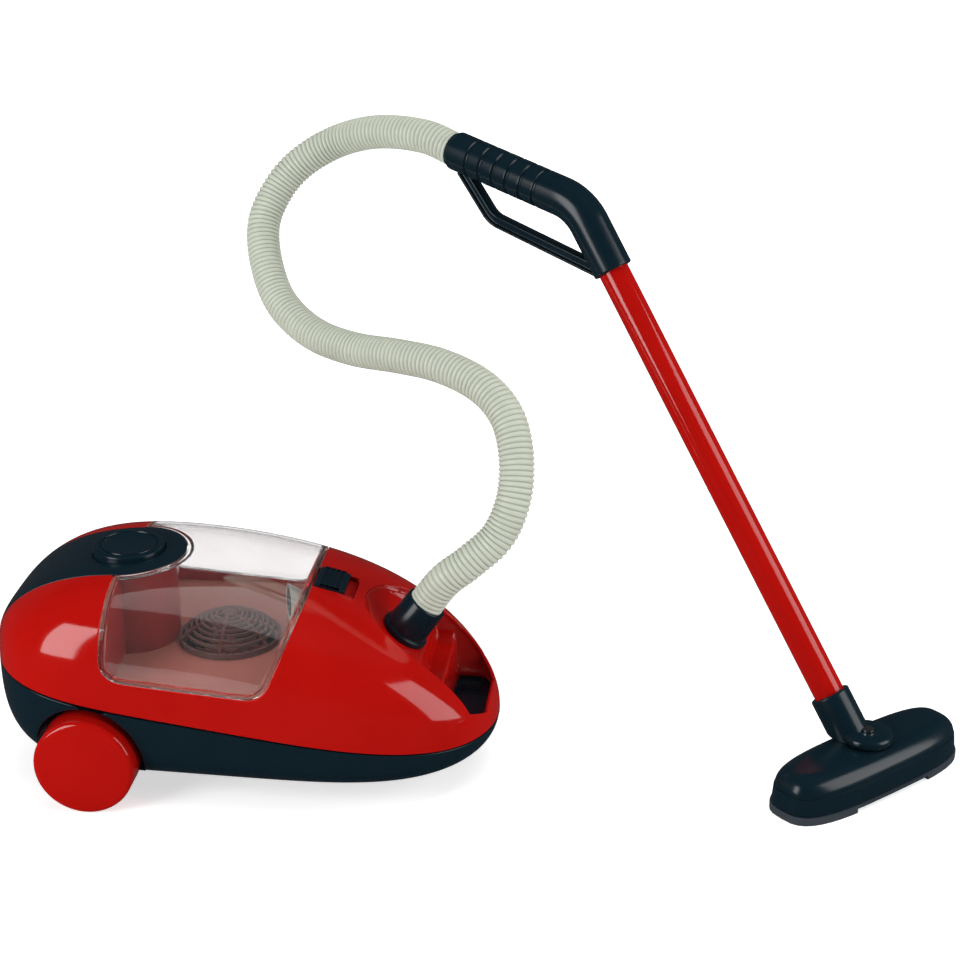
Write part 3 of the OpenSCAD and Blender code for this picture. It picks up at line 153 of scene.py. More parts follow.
def mixed(tree, share, base, colour):
    """A colour socket with a share of another colour mixed in."""
    node = tree.nodes.new("ShaderNodeMix")
    node.data_type = "RGBA"
    node.inputs["B"].default_value = colour
    tree.links.new(share, node.inputs["Factor"])
    tree.links.new(base, node.inputs["A"])
    return node.outputs["Result"]


def math_node(tree, operation, a, b):
    """One operation on two sockets."""
    node = tree.nodes.new("ShaderNodeMath")
    node.operation = operation
    tree.links.new(a, node.inputs[0])
    tree.links.new(b, node.inputs[1])
    return node.outputs["Value"]


MIN_ROUGH, PLASTIC_IOR, GRAIN_DEPTH, GRAIN_FINENESS = 0.02, 1.49, 0.0002, 5
# Pointiness where wear and the painted shade in hollows begin and where they are full
WEAR_FROM, WEAR_FULL, SHADE_FROM, SHADE_FULL = 0.52, 0.62, 0.5, 0.42


def finish_of(name, hex_colour, rough=0.3, vary=0.06, grain=0.0, scale=90, metal=0.0, clear=0.0, shine=0.5,
              wear=0.12, hollow_shade=0.0):
    """A moulded or metal finish: drifting tone and roughness, fine grain, paler edges and hollows darkened by
    painted shade.
    """
    mat = bpy.data.materials.new(name)
    mat.use_nodes = True
    tree = mat.node_tree
    nodes, links = tree.nodes, tree.links
    skin = nodes["Principled BSDF"]
    place = nodes.new("ShaderNodeTexCoord").outputs["Object"]
    broad = noise(tree, place, scale, detail=5)
    roughness = map_range(tree, broad, low=max(MIN_ROUGH, rough - vary), high=rough + vary)
    links.new(roughness, skin.inputs["Roughness"])
    colour = linear(hex_colour)[:3]
    tone = nodes.new("ShaderNodeValToRGB")
    tone.color_ramp.elements[0].color = [0.9 * v for v in colour] + [1]
    tone.color_ramp.elements[1].color = [min(1, 1.08 * v) for v in colour] + [1]
    links.new(broad, tone.inputs["Fac"])
    edge = nodes.new("ShaderNodeNewGeometry").outputs["Pointiness"]
    worn = mixed(tree, map_range(tree, edge, WEAR_FROM, WEAR_FULL, high=wear), tone.outputs["Color"],
                 [min(1, 0.25 + 0.8 * v) for v in colour] + [1])
    # Painted shade: hollows, found by low pointiness, are darkened towards a third of the colour
    painted_shade = mixed(tree, map_range(tree, edge, SHADE_FROM, SHADE_FULL, high=hollow_shade), worn,
                   [0.3 * v for v in colour] + [1])
    links.new(painted_shade, skin.inputs["Base Color"])
    if grain:
        bump = nodes.new("ShaderNodeBump")
        bump.inputs["Strength"].default_value = grain
        bump.inputs["Distance"].default_value = GRAIN_DEPTH
        links.new(noise(tree, place, GRAIN_FINENESS * scale, detail=3), bump.inputs["Height"])
        links.new(bump.outputs["Normal"], skin.inputs["Normal"])
    skin.inputs["Metallic"].default_value = metal
    skin.inputs["Transmission Weight"].default_value = clear
    skin.inputs["Specular IOR Level"].default_value = shine
    skin.inputs["IOR"].default_value = PLASTIC_IOR
    if clear:
        # Light falls through a clear piece onto what lies behind it
        ray = nodes.new("ShaderNodeLightPath")
        through = nodes.new("ShaderNodeBsdfTransparent")
        either = nodes.new("ShaderNodeMixShader")
        links.new(ray.outputs["Is Shadow Ray"], either.inputs["Fac"])
        links.new(skin.outputs["BSDF"], either.inputs[1])
        links.new(through.outputs["BSDF"], either.inputs[2])
        links.new(either.outputs["Shader"], nodes["Material Output"].inputs["Surface"])
    return mat


RED = finish_of("red_gloss", "#b4110c", rough=0.09, vary=0.03, grain=0.02, scale=26, shine=0.4, wear=0.05)
# A darker copy of the tray's red, as painted shade on its upright drum and rear wall
SHADED_RED = finish_of("red_drum_painted_shade", "#7c120e", rough=0.16, vary=0.04, grain=0.02, scale=26, shine=0.1, wear=0.05)
ROSE = finish_of("rose_tray", "#8a5046", rough=0.2, vary=0.05, grain=0.03, scale=26, shine=0.15, wear=0.05)
SMOKE = finish_of("smoky_grille", "#4a2b28", rough=0.14, vary=0.05, grain=0.02, scale=40, shine=0.2,
                  wear=0.08)
NAVY = finish_of("navy_satin", "#0e2029", rough=0.22, vary=0.05, scale=40, shine=0.3, wear=0.0)
CLEAR = finish_of("clear_styrene", "#fdfafa", rough=0.03, vary=0.015, scale=20, clear=0.99, wear=0.0)
# The hose's grooves are darkened by painted shade
CREAM = finish_of("cream_vinyl", "#d0d6c6", rough=0.36, grain=0.08, scale=60, wear=0.05, hollow_shade=0.9)
GREY = finish_of("grey_plastic", "#8d8c86", rough=0.4, vary=0.06, grain=0.1)
SLATE = finish_of("slate_plastic", "#22303a", rough=0.42, vary=0.08, grain=0.15)
BLACK = finish_of("black_plastic", "#23272c", rough=0.4, vary=0.08, grain=0.1)
JACKET = finish_of("cell_jacket", "#3c4a3f", rough=0.35, vary=0.05)
STEEL = finish_of("steel", "#b4b7bb", rough=0.28, vary=0.1, metal=1.0, scale=200)
BRASS = finish_of("brass", "#c39b46", rough=0.3, vary=0.1, metal=1.0, scale=200)


# Mesh makers

def piece(name, points, faces, mat, body, place=CANISTER, normals=None, replaces=(), slot=None, sharp=38,
          weld=True):
    """One mesh piece that rides on a body; points are millimetres in the frame place."""
    world = np.asarray(points, float) @ np.array(place.to_3x3()).T + np.array(place.translation)
    mesh = bpy.data.meshes.new(name)
    mesh.from_pydata((world * MM).tolist(), [], [list(map(int, f)) for f in faces])
    if weld:
        work = bmesh.new()
        work.from_mesh(mesh)
        bmesh.ops.remove_doubles(work, verts=work.verts, dist=1e-6)
        bmesh.ops.recalc_face_normals(work, faces=work.faces)
        work.to_mesh(mesh)
        work.free()
    mesh.polygons.foreach_set("use_smooth", [True] * len(mesh.polygons))
    mesh.set_sharp_from_angle(angle=radians(sharp))
    if normals is not None:
        world_normals = np.asarray(normals, float) @ np.array(place.to_3x3()).T
        mesh.normals_split_custom_set_from_vertices(world_normals.tolist())
    mesh.materials.append(mat)
    obj = bpy.data.objects.new(name, mesh)
    bpy.context.scene.collection.objects.link(obj)
    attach(obj, body)
    if replaces:
        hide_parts(*replaces)
    return obj


def rounded(corners, steps=5):
    """A closed outline from (x, y, radius) corners, each rounded by an arc."""
    out = []
    count = len(corners)
    for k, (x, y, r) in enumerate(corners):
        p = np.array([x, y], float)
        a = np.array(corners[k - 1][:2], float) - p
        b = np.array(corners[(k + 1) % count][:2], float) - p
        if r <= 0:
            out.append(tuple(p))
            continue
        a, b = a / np.linalg.norm(a), b / np.linalg.norm(b)
        half = np.arccos(np.clip(a @ b, -1, 1)) / 2
        mid = (a + b) / np.linalg.norm(a + b)
        centre = p + mid * r / sin(half)
        start, end = p + a * r / tan(half) - centre, p + b * r / tan(half) - centre
        a0, a1 = atan2(start[1], start[0]), atan2(end[1], end[0])
        sweep = (a1 - a0 + pi) % (2 * pi) - pi
        out += [tuple(centre + r * np.array([cos(a0 + sweep * s / steps), sin(a0 + sweep * s / steps)]))
                for s in range(steps + 1)]
    return out


def lathe(outline, steps=96):
    """Points and faces of a closed (radius, z) outline turned about Z."""
    points = [(r * cos(2 * pi * k / steps), r * sin(2 * pi * k / steps), z)
              for k in range(steps) for r, z in outline]
    n = len(outline)
    faces = [(k * n + j, ((k + 1) % steps) * n + j, ((k + 1) % steps) * n + (j + 1) % n, k * n + (j + 1) % n)
             for k in range(steps) for j in range(n)]
    return points, faces


def quads(rows, n):
    """Faces between closed rings of n points, row after row."""
    return [(k * n + j, k * n + (j + 1) % n, (k + 1) * n + (j + 1) % n, (k + 1) * n + j)
            for k in range(rows - 1) for j in range(n)]


def joined(*parts):
    """One set of points and faces from several."""
    points, faces = [], []
    for more_points, more_faces in parts:
        at = len(points)
        points += [tuple(p) for p in more_points]
        faces += [tuple(i + at for i in f) for f in more_faces]
    return points, faces


def moved(part, matrix):
    return [tuple(matrix @ Vector(p)) for p in part[0]], part[1]


def tube(line, radii, steps=48, side=(0, 1, 0), capped=True):
    """Rings of the given radii along a line, with side vectors carried along without twist."""
    line = np.asarray(line, float)
    ahead = np.gradient(line, axis=0)
    ahead /= np.linalg.norm(ahead, axis=1)[:, None]
    angles = np.linspace(0, 2 * pi, steps, endpoint=False)
    points, v = [], np.array(side, float)
    for p, d, r in zip(line, ahead, radii):
        v = v - (v @ d) * d
        v /= np.linalg.norm(v)
        w = np.cross(d, v)
        points.append(p + r * (np.cos(angles)[:, None] * v + np.sin(angles)[:, None] * w))
    points = np.concatenate(points)
    faces = quads(len(line), steps)
    if capped:
        last = (len(line) - 1) * steps
        faces += [tuple(range(steps - 1, -1, -1)), tuple(range(last, last + steps))]
    return points, faces


# Camera

EYE, CAMERA_AZ, CAMERA_EL, LENS, SENSOR = (458.7, -1253.7, 729.7), radians(6.7), radians(22.8), 82.5, 36.0
camera = bpy.data.objects.new("camera", bpy.data.cameras.new("camera"))
camera.data.lens, camera.data.sensor_width = LENS, SENSOR
camera.location = (CANISTER @ Vector(EYE)) * MM
camera.rotation_euler = (pi / 2 - CAMERA_EL, 0, CAMERA_AZ)
bpy.context.scene.collection.objects.link(camera)
bpy.context.scene.camera = camera


# Hose skin and route

def spline(points, per_span):
    """A Catmull-Rom line through the points."""
    p = np.asarray(points, float)
    line = []
    for i in range(len(p) - 1):
        a, b, c, d = p[max(0, i - 1)], p[i], p[i + 1], p[min(len(p) - 1, i + 2)]
        for t in np.arange(per_span) / per_span:
            line.append(b + t / 2 * (c - a + t * (2 * a - 5 * b + 4 * c - d + t * (3 * (b - c) + d - a))))
    return np.array(line + [p[-1]])


def even(line, count):
    """The line again with evenly spaced points, and its length."""
    way = np.concatenate([[0], np.cumsum(np.linalg.norm(np.diff(line, axis=0), axis=1))])
    at = np.linspace(0, way[-1], count)
    return np.stack([np.interp(at, way, line[:, k]) for k in range(3)], 1), way[-1]


RINGS_PER_RIB, HOSE_STEPS, STRAIGHT_SHARE, FERRULE_GAP = 8, 40, 1.15, 2.0
socket_axis = np.array([cos(SOCKET_TILT), 0, sin(SOCKET_TILT)])
to_canister = CANISTER.inverted()
grip_end = np.array(to_canister @ (ALONG_GRIP @ Vector((0, 0, GRIP_L + FERRULE_GAP))))
grip_axis = np.array((ALONG_GRIP.to_3x3() @ Vector((0, 0, 1))))
hose_start = np.array([SOCKET_X, 0, SOCKET_Z]) + (CUFF_L - CUFF_DEPTH) * socket_axis
route = [hose_start, hose_start + STRAIGHT_SHARE * HOSE_D * socket_axis, *HOSE_POINTS,
         grip_end + STRAIGHT_SHARE * HOSE_D * grip_axis, grip_end]
hose_line, hose_l = even(spline(route, 24), HOSE_RIBS * RINGS_PER_RIB + 1)
turns = np.arange(len(hose_line)) / RINGS_PER_RIB
groove = (0.5 + 0.5 * np.cos(2 * pi * turns)) ** 2.2
hose_r = HOSE_D / 2 - RIB_DEPTH * groove
skin = tube(hose_line, hose_r, HOSE_STEPS, capped=False)
bore_line = hose_line[::RINGS_PER_RIB]
bore = tube(bore_line, np.full(len(bore_line), HOSE_BORE / 2), HOSE_STEPS, capped=False)
hose_points, hose_faces = joined(skin, (bore[0], [f[::-1] for f in bore[1]]))
bore_at, skin_last, bore_last = len(skin[0]), len(skin[0]) - HOSE_STEPS, len(hose_points) - HOSE_STEPS
for j in range(HOSE_STEPS):
    k = (j + 1) % HOSE_STEPS
    hose_faces += [(k, j, bore_at + j, bore_at + k),
                   (skin_last + j, skin_last + k, bore_last + k, bore_last + j)]
hose = piece("hose_skin", hose_points, hose_faces, CREAM, "hose_line", replaces=["hose"],
             slot="cream_plastic", sharp=80)


# Skins of the housing

def taper(u, power, root):
    return np.maximum(0, 1 - np.clip(u, 0, 1) ** power) ** (1 / root)


def to_end(x, rear_power, rear_root, nose_power, nose_root):
    return np.where(x < WIDE_X, taper((WIDE_X - x) / WIDE_X, rear_power, rear_root),
                    taper((x - WIDE_X) / (BODY_L - WIDE_X), nose_power, nose_root))


def belt_z(x):
    return BELT_REAR_Z + (BELT_NOSE_Z - BELT_REAR_Z) * x / BODY_L


def half_w(x):
    return BODY_W / 2 * to_end(x, *WIDTH_TAPER)


def roof_z(x):
    to_nose = np.maximum(0, x - CROWN_X) / (BODY_L - CROWN_X)
    to_rear = (CROWN_X - x) / CROWN_X
    drop = np.where(x > CROWN_X, NOSE_DROP * to_nose ** NOSE_FALL, REAR_DROP * to_rear ** REAR_FALL)
    return belt_z(x) + (CROWN_H - drop - belt_z(x)) * to_end(x, *ROOF_TAPER)


def roof_top(x):
    """Height of the roof's middle line at one place, as a plain number."""
    return float(roof_z(np.array(x)))


def keel_z(x):
    return belt_z(x) - (belt_z(x) - BASE_Z) * to_end(x, *KEEL_TAPER)


def surface(x, a):
    """Point of the housing at place x and angle a round the section; a from 0 to pi is the upper half."""
    up = np.sin(a) >= 0
    rise = np.where(up, roof_z(x) - belt_z(x), keel_z(x) - belt_z(x))
    c, s = np.cos(a), np.abs(np.sin(a))
    y = half_w(x) * np.sign(c) * np.abs(c) ** np.where(up, 2 / SIDE_POWER, 2 / SKIRT_POWER)
    return np.stack([x + 0 * a, y, belt_z(x) + rise * s ** np.where(up, 2 / ROOF_POWER, 2 / FLOOR_POWER)], -1)


def even_angles(start, count, side_power, flat_power, w, h):
    """Angles over half a section that space its points evenly, for a section of about w by h."""
    a = np.linspace(1e-4, pi - 1e-4, 4000)
    y = w * np.sign(np.cos(a)) * np.abs(np.cos(a)) ** (2 / side_power)
    z = h * np.sin(a) ** (2 / flat_power)
    way = np.concatenate([[0], np.cumsum(np.hypot(np.diff(y), np.diff(z)))])
    angles = np.interp(np.linspace(0, way[-1], count), way, a)
    angles[0], angles[-1] = 0, pi
    return start + angles


def outline_distance(x, y, outline):
    """Distance to a closed outline, positive inside it."""
    p = np.stack([x, y], -1)
    best = np.full(x.shape, 1e9)
    inside = np.zeros(x.shape, bool)
    for k in range(len(outline)):
        a, b = np.array(outline[k - 1], float), np.array(outline[k], float)
        ab = b - a
        if ab @ ab < 1e-12:
            continue
        t = np.clip(((p - a) @ ab) / (ab @ ab), 0, 1)
        best = np.minimum(best, np.linalg.norm(p - a - t[..., None] * ab, axis=-1))
        crosses = (a[1] > y) != (b[1] > y)
        inside ^= crosses & (x < a[0] + (y - a[1]) * ab[0] / (ab[1] if ab[1] else 1e-12))
    return np.where(inside, best, -best)


class Grid:
    """Points of a surface at(u, v) over rows u and columns v, with outward normals and its true spacing."""

    def __init__(self, us, vs, at, middle):
        self.us, self.vs, self.at = us, vs, at
        self.points = at(us[:, None], vs[None, :])
        self.du, self.dv = np.gradient(self.points, axis=0), np.gradient(self.points, axis=1)
        normal = np.cross(self.dv, self.du)
        normal /= np.maximum(1e-12, np.linalg.norm(normal, axis=-1))[..., None]
        self.normal = normal * np.sign(np.sum(normal * (self.points - np.array(middle)), -1).sum())

    def slope(self, field):
        """Gradient of a field along the surface, as vectors."""
        fu, fv = np.gradient(field, axis=0), np.gradient(field, axis=1)
        e, f, g = (np.sum(p * q, -1) for p, q in ((self.du, self.du), (self.du, self.dv), (self.dv, self.dv)))
        area = np.maximum(1e-9, e * g - f ** 2)
        return (((g * fu - f * fv) / area)[..., None] * self.du
                + ((e * fv - f * fu) / area)[..., None] * self.dv)

    def true(self, field):
        """The field as a distance along the surface from its zero line."""
        return field / np.maximum(0.25, np.linalg.norm(self.slope(field), axis=-1))


def housing_grid(start, stations, arcs, x_from=0.0, x_to=BODY_L):
    """Grid over the upper (start 0) or lower (start pi) half of the housing."""
    lean = np.linspace(0.004, pi - 0.004, 2000)
    xs = BODY_L * (1 - np.cos(lean)) / 2
    share = np.linspace(np.interp(x_from, xs, lean), np.interp(x_to, xs, lean), stations)
    powers = (SIDE_POWER, ROOF_POWER) if start == 0 else (SKIRT_POWER, FLOOR_POWER)
    angles = even_angles(start, arcs, *powers, BODY_W / 2, 70 if start == 0 else 45)
    return Grid(BODY_L * (1 - np.cos(share)) / 2, angles, surface, (WIDE_X, 0, 70))


def round_edge(r, deep, steps=4):
    """Section of a shell's rounded edge, as (out, down) steps from its outer skin to its inner one."""
    turn = np.linspace(0, pi / 2, steps + 1)
    r = min(r, deep / 2)
    return ([(r * sin(a), r * (1 - cos(a))) for a in turn[1:]]
            + [(r * cos(a), deep - r + r * sin(a)) for a in turn[:-1]])


def trimmed(grid, keep, thickness, edge_r=0.6):
    """Closed shell of a grid's surface where keep is positive, with rounded edges that reach edge_r further.
    The inner skin lies thickness, a number or a field, inside the outer one."""
    nu, nv = keep.shape
    fields = np.concatenate([grid.points, grid.normal, grid.slope(keep),
                             np.broadcast_to(thickness, keep.shape)[..., None]], -1)
    rows, faces, index = [], [], {}

    def corner(p):
        if p not in index:
            index[p] = len(rows)
            rows.append(fields[p])
        return index[p]

    def crossing(p, q):
        a, b = key = (p, q) if p < q else (q, p)
        if key not in index:
            t = keep[a] / (keep[a] - keep[b])
            row = (1 - t) * fields[a] + t * fields[b]
            u = (1 - t) * grid.us[a[0]] + t * grid.us[b[0]]
            v = (1 - t) * grid.vs[a[1]] + t * grid.vs[b[1]]
            row[:3] = grid.at(np.array([u]), np.array([v]))[0]
            index[key] = len(rows)
            rows.append(row)
        return index[key]

    for i in range(nu - 1):
        for j in range(nv - 1):
            ring = [(i, j), (i, j + 1), (i + 1, j + 1), (i + 1, j)]
            signs = [keep[c] > 0 for c in ring]
            face = []
            for k in range(4):
                if signs[k]:
                    face.append(corner(ring[k]))
                if signs[k] != signs[(k + 1) % 4]:
                    face.append(crossing(ring[k], ring[(k + 1) % 4]))
            if len(face) > 2:
                faces.append(face)
    rows = np.array(rows)
    outer, deep, count = rows[:, :3], rows[:, 9], len(rows)
    normal = rows[:, 3:6] / np.linalg.norm(rows[:, 3:6], axis=1)[:, None]
    out = -rows[:, 6:9]
    out -= np.sum(out * normal, 1)[:, None] * normal
    out /= np.maximum(1e-9, np.linalg.norm(out, axis=1))[:, None]
    a, b, c = faces[len(faces) // 2][:3]
    if np.cross(outer[b] - outer[a], outer[c] - outer[a]) @ normal[a] < 0:
        faces = [f[::-1] for f in faces]
    edges = {(f[k - 1], f[k]) for f in faces for k in range(len(f))}
    border = sorted((a, b) for a, b in edges if (b, a) not in edges)
    points, normals = [outer, outer - normal * deep[:, None]], [normal, np.zeros_like(normal)]
    faces = faces + [[count + v for v in f[::-1]] for f in faces]
    rim_at, at = {}, 2 * count
    for v in sorted({v for e in border for v in e}):
        steps = np.array(round_edge(edge_r, deep[v]))
        rim_at[v] = range(at, at + len(steps))
        at += len(steps)
        points.append(outer[v] + steps[:, :1] * out[v] - steps[:, 1:] * normal[v])
        normals.append(np.zeros((len(steps), 3)))
    for a, b in border:
        chain_a, chain_b = [a, *rim_at[a], count + a], [b, *rim_at[b], count + b]
        faces += [[chain_a[k], chain_a[k + 1], chain_b[k + 1], chain_b[k]] for k in range(len(chain_a) - 1)]
    return np.concatenate(points), faces, np.concatenate(normals)


SEAM, EDGE_R = 0.3, 0.6
far_z = CROWN_H + 30
rake = LID_RAKE / (roof_top(LID_FRONT_X) - LID_FOOT_FRONT_Z)
WINDOW = rounded([
    (LID_REAR_X, far_z, 0), (LID_REAR_X, LID_FOOT_REAR_Z, LID_CORNER_R),
    (LID_FRONT_X - LID_RAKE, LID_FOOT_FRONT_Z, LID_CORNER_R),
    (LID_FRONT_X - LID_RAKE + rake * (far_z - LID_FOOT_FRONT_Z), far_z, 0),
], steps=10)
TONGUE_TAIL_X = -9.0
TONGUE = [(PANEL_X + PANEL_R * cos(a), PANEL_R * sin(a)) for a in np.linspace(-pi / 2, pi / 2, 60)]
TONGUE = [(TONGUE_TAIL_X, -PANEL_REAR_W / 2), *TONGUE, (TONGUE_TAIL_X, PANEL_REAR_W / 2)]
SCOOP_X, SCOOP_FRONT_X = SCOOP_REAR_X + SCOOP_R, BODY_L - LIP_T
side_x = np.linspace(SCOOP_X, SCOOP_FRONT_X, 60)
side_y = np.minimum(SCOOP_R, half_w(side_x) - LIP_T)
SCOOP = [(SCOOP_X + SCOOP_R * cos(a), SCOOP_R * sin(a)) for a in np.linspace(pi / 2, 3 * pi / 2, 60)]
SCOOP += list(zip(side_x, -side_y)) + list(zip(side_x[::-1], side_y[::-1]))
LATCH_BACK, POCKET_ROOM = LID_FRONT_X + EDGE_GAP, 1.0
POCKET_L, POCKET_W = LATCH_L + LATCH_TRAVEL + POCKET_ROOM, LATCH_W + POCKET_ROOM
pocket_ends = (LATCH_BACK - 2 * POCKET_ROOM, LATCH_BACK + POCKET_L * cos(LATCH_SLOPE))
POCKET = [(pocket_ends[0], -POCKET_W / 2), (pocket_ends[1], -POCKET_W / 2),
          (pocket_ends[1], POCKET_W / 2), (pocket_ends[0], POCKET_W / 2)]
LATCH_SEAT = Matrix.Translation((LATCH_BACK, 0, roof_top(LATCH_BACK))) @ turned("Y", LATCH_SLOPE)


def fields_of(grid):
    """Distances into each opening of the housing along a grid's surface, positive inside it."""
    x, y, z = np.moveaxis(grid.points, -1, 0)
    return {
        "window": grid.true(outline_distance(x, z, WINDOW)),
        "tongue": grid.true(outline_distance(x, y, TONGUE)),
        "scoop": grid.true(outline_distance(x, y, SCOOP)),
        "pocket": grid.true(outline_distance(x, y, POCKET)),
        "belt": grid.true(z - belt_z(x)),
    }


def least(*fields):
    return np.minimum.reduce(fields)


upper = housing_grid(0, 200, 150)
into = fields_of(upper)
keep = least(into["belt"] - SEAM, -into["window"], -into["tongue"], -into["scoop"], -into["pocket"]) - EDGE_R
roof_shell = trimmed(upper, keep, WALL, EDGE_R)

panel_grid = housing_grid(0, 150, 150, 0, PANEL_X + PANEL_R + 4)
into = fields_of(panel_grid)
px, py = panel_grid.points[..., 0], panel_grid.points[..., 1]
BUTTON_GAP = 0.5
from_button = np.hypot(px - PANEL_X, py) - BUTTON_D / 2 - BUTTON_GAP
keep = least(into["tongue"] - SEAM, panel_grid.true(from_button)) - EDGE_R
points, faces, normals = trimmed(panel_grid, keep, WALL, EDGE_R)
piece("panel_skin", points, faces, NAVY, "canister", normals=normals, replaces=["control_panel"],
      slot="navy_plastic", weld=False)

LID_BEAD, LID_BEAD_W = 1.6, 2.2
lid_grid = housing_grid(0, 150, 260, LID_REAR_X - 4, LID_FRONT_X + 4)
into = fields_of(lid_grid)
keep = least(into["window"] - SEAM, -into["tongue"] - SEAM) - EDGE_R
bead = LID_T + LID_BEAD * np.clip((LID_BEAD_W + 0.4 - keep) / 0.8, 0, 1)
points, faces, normals = trimmed(lid_grid, keep, bead, EDGE_R)
piece("lid_skin", points, faces, CLEAR, "lid", normals=normals, replaces=["clear_lid"], slot="clear_plastic",
      weld=False)


# Scoop in the nose

def ramp(x, at, width):
    """0 before at, 1 after it, over a smooth step."""
    t = np.clip((x - at) / width + 0.5, 0, 1)
    return t * t * (3 - 2 * t)


BOWL_R, STEP_W = 9.0, 3.0


def scoop_floor(x, inside):
    """Height of the scoop's floor, rounded up into its wall."""
    seat = SOCKET_Z - (x - SOCKET_X) * tan(pi / 2 - SOCKET_TILT)
    z = seat + (LEDGE_Z - seat) * ramp(x, STEP_X, STEP_W)
    z = z + (DECK_Z - z) * ramp(x, LEDGE_X, STEP_W)
    d = np.clip(inside, 0, BOWL_R)
    return z + BOWL_R - np.sqrt(BOWL_R ** 2 - (BOWL_R - d) ** 2)


def roof_at(x, y):
    c = np.minimum(1, np.abs(y) / half_w(x)) ** SIDE_POWER
    return belt_z(x) + (roof_z(x) - belt_z(x)) * (1 - c) ** (1 / ROOF_POWER)


def scoop_part():
    """The scoop's floor and wall, as rows of points that run in from the rim."""
    rim = np.array(SCOOP)
    closed = np.concatenate([rim, rim[:1]])
    rim, _ = even(np.column_stack([closed, np.zeros(len(closed))]), 241)
    rim = rim[:-1, :2]
    centre = np.array([SCOOP_X + 4, 0.0])
    shares = 1 - np.concatenate([[0, 0], np.linspace(0, 1, 60) ** 1.3 * 0.99])
    points = []
    for k, share in enumerate(shares):
        p = centre + (rim - centre) * share
        inside = np.maximum(0, outline_distance(p[:, 0], p[:, 1], SCOOP)) if k > 1 else np.zeros(len(p))
        z = scoop_floor(p[:, 0], inside)
        roof = roof_at(p[:, 0], p[:, 1]) - EDGE_R
        points.append(np.column_stack([p, roof if k == 0 else np.minimum(z, roof)]))
    n = len(rim)
    last = tuple(range((len(shares) - 1) * n, len(shares) * n))
    return np.concatenate(points), quads(len(shares), n) + [last]


def pocket_part():
    """Open box of the latch pocket under the roof."""
    w = POCKET_W / 2
    corners = [(x, y, z) for z in (-LATCH_SINK, -EDGE_GAP)
               for x, y in ((-POCKET_ROOM, -w), (POCKET_L, -w), (POCKET_L, w), (-POCKET_ROOM, w))]
    faces = [(0, 1, 2, 3), (0, 1, 5, 4), (1, 2, 6, 5), (2, 3, 7, 6), (3, 0, 4, 7)]
    return moved((corners, faces), LATCH_SEAT)


def with_parts(shell, *parts):
    """A trimmed shell with further parts added, whose normals are left to the mesh."""
    points, faces, normals = shell
    more_points, more_faces = joined(*parts)
    at = len(points)
    return (np.concatenate([points, more_points]), faces + [[at + v for v in f] for f in more_faces],
            np.concatenate([normals, np.zeros((len(more_points), 3))]))


# The scoop's faces below this height over its deck belong to the dark base
DECK_TOP = 6.0
scoop_points, scoop_faces = scoop_part()
face_z = [scoop_points[list(f), 2].mean() for f in scoop_faces]
deck_faces = [f for f, z in zip(scoop_faces, face_z) if z < DECK_Z + DECK_TOP]
bowl_faces = [f for f, z in zip(scoop_faces, face_z) if z >= DECK_Z + DECK_TOP]
points, faces, normals = with_parts(roof_shell, (scoop_points, bowl_faces), pocket_part())
piece("roof_skin", points, faces, RED, "canister", normals=normals, replaces=["top_shell"],
      slot="red_plastic", weld=False)


# Base

ARCH_R, ARCH_Y, AXLE_Z = WHEEL_D / 2 + ARCH_GAP, TRACK_W / 2 - WHEEL_W - 1, WHEEL_D / 2
SCREWS = [(x, side * 0.7 * float(half_w(np.array(x)))) for x in (122.0, 286.0) for side in (-1, 1)]
SCREW_HOLE_R, SCREW_HOLE_H, KEEL_GAP = 3.25, 9.5, 0.5
lower = housing_grid(pi, 220, 170)
x, y, z = np.moveaxis(lower.points, -1, 0)
arch = np.minimum(ARCH_R - np.hypot(x - WHEEL_X, z - AXLE_Z), np.abs(y) - ARCH_Y)
door = np.minimum(np.minimum(x - DOOR_X0, DOOR_X0 + DOOR_L - x), DOOR_W / 2 - np.abs(y))
keep = least(lower.true(belt_z(x) - z) - SEAM, -lower.true(arch), -lower.true(door),
             lower.true(np.hypot(x - CASTER_X, y) - WELL_D / 2),
             *[lower.true(np.hypot(x - sx, y - sy) - SCREW_HOLE_R) for sx, sy in SCREWS]) - EDGE_R
base_shell = trimmed(lower, keep, WALL, EDGE_R)


def skirt_y(x, z):
    """Half width of the base at a height below the belt."""
    s = np.clip((belt_z(x) - z) / (belt_z(x) - keel_z(x)), 0, 1) ** (FLOOR_POWER / 2)
    return half_w(x) * np.maximum(0, 1 - s * s) ** (1 / SKIRT_POWER)


def arch_part(side, steps=73):
    """Lining of a wheel arch and the wall behind the wheel."""
    turn = np.linspace(radians(-20), radians(200), steps)
    ax = WHEEL_X + ARCH_R * np.cos(turn)
    az = np.maximum(AXLE_Z + ARCH_R * np.sin(turn), keel_z(ax) + KEEL_GAP)
    rim = np.maximum(ARCH_Y, skirt_y(ax, az) - EDGE_R)
    rows = [np.column_stack([ax, side * y, az]) for y in (rim, np.full(steps, ARCH_Y))]
    faces = [(k, k + 1, steps + k + 1, steps + k) for k in range(steps - 1)]
    return np.concatenate(rows), faces + [tuple(range(steps, 2 * steps))]


def well_part(cx, cy, r, top, steps=48):
    """Lining of a round well in the floor, closed at its top."""
    turn = np.linspace(0, 2 * pi, steps, endpoint=False)
    wx, wy = cx + r * np.cos(turn), cy + r * np.sin(turn)
    rows = [np.column_stack([wx, wy, keel_z(wx) + EDGE_R]), np.column_stack([wx, wy, np.full(steps, top)])]
    faces = [(k, (k + 1) % steps, steps + (k + 1) % steps, steps + k) for k in range(steps)]
    return np.concatenate(rows), faces + [tuple(range(steps, 2 * steps))]


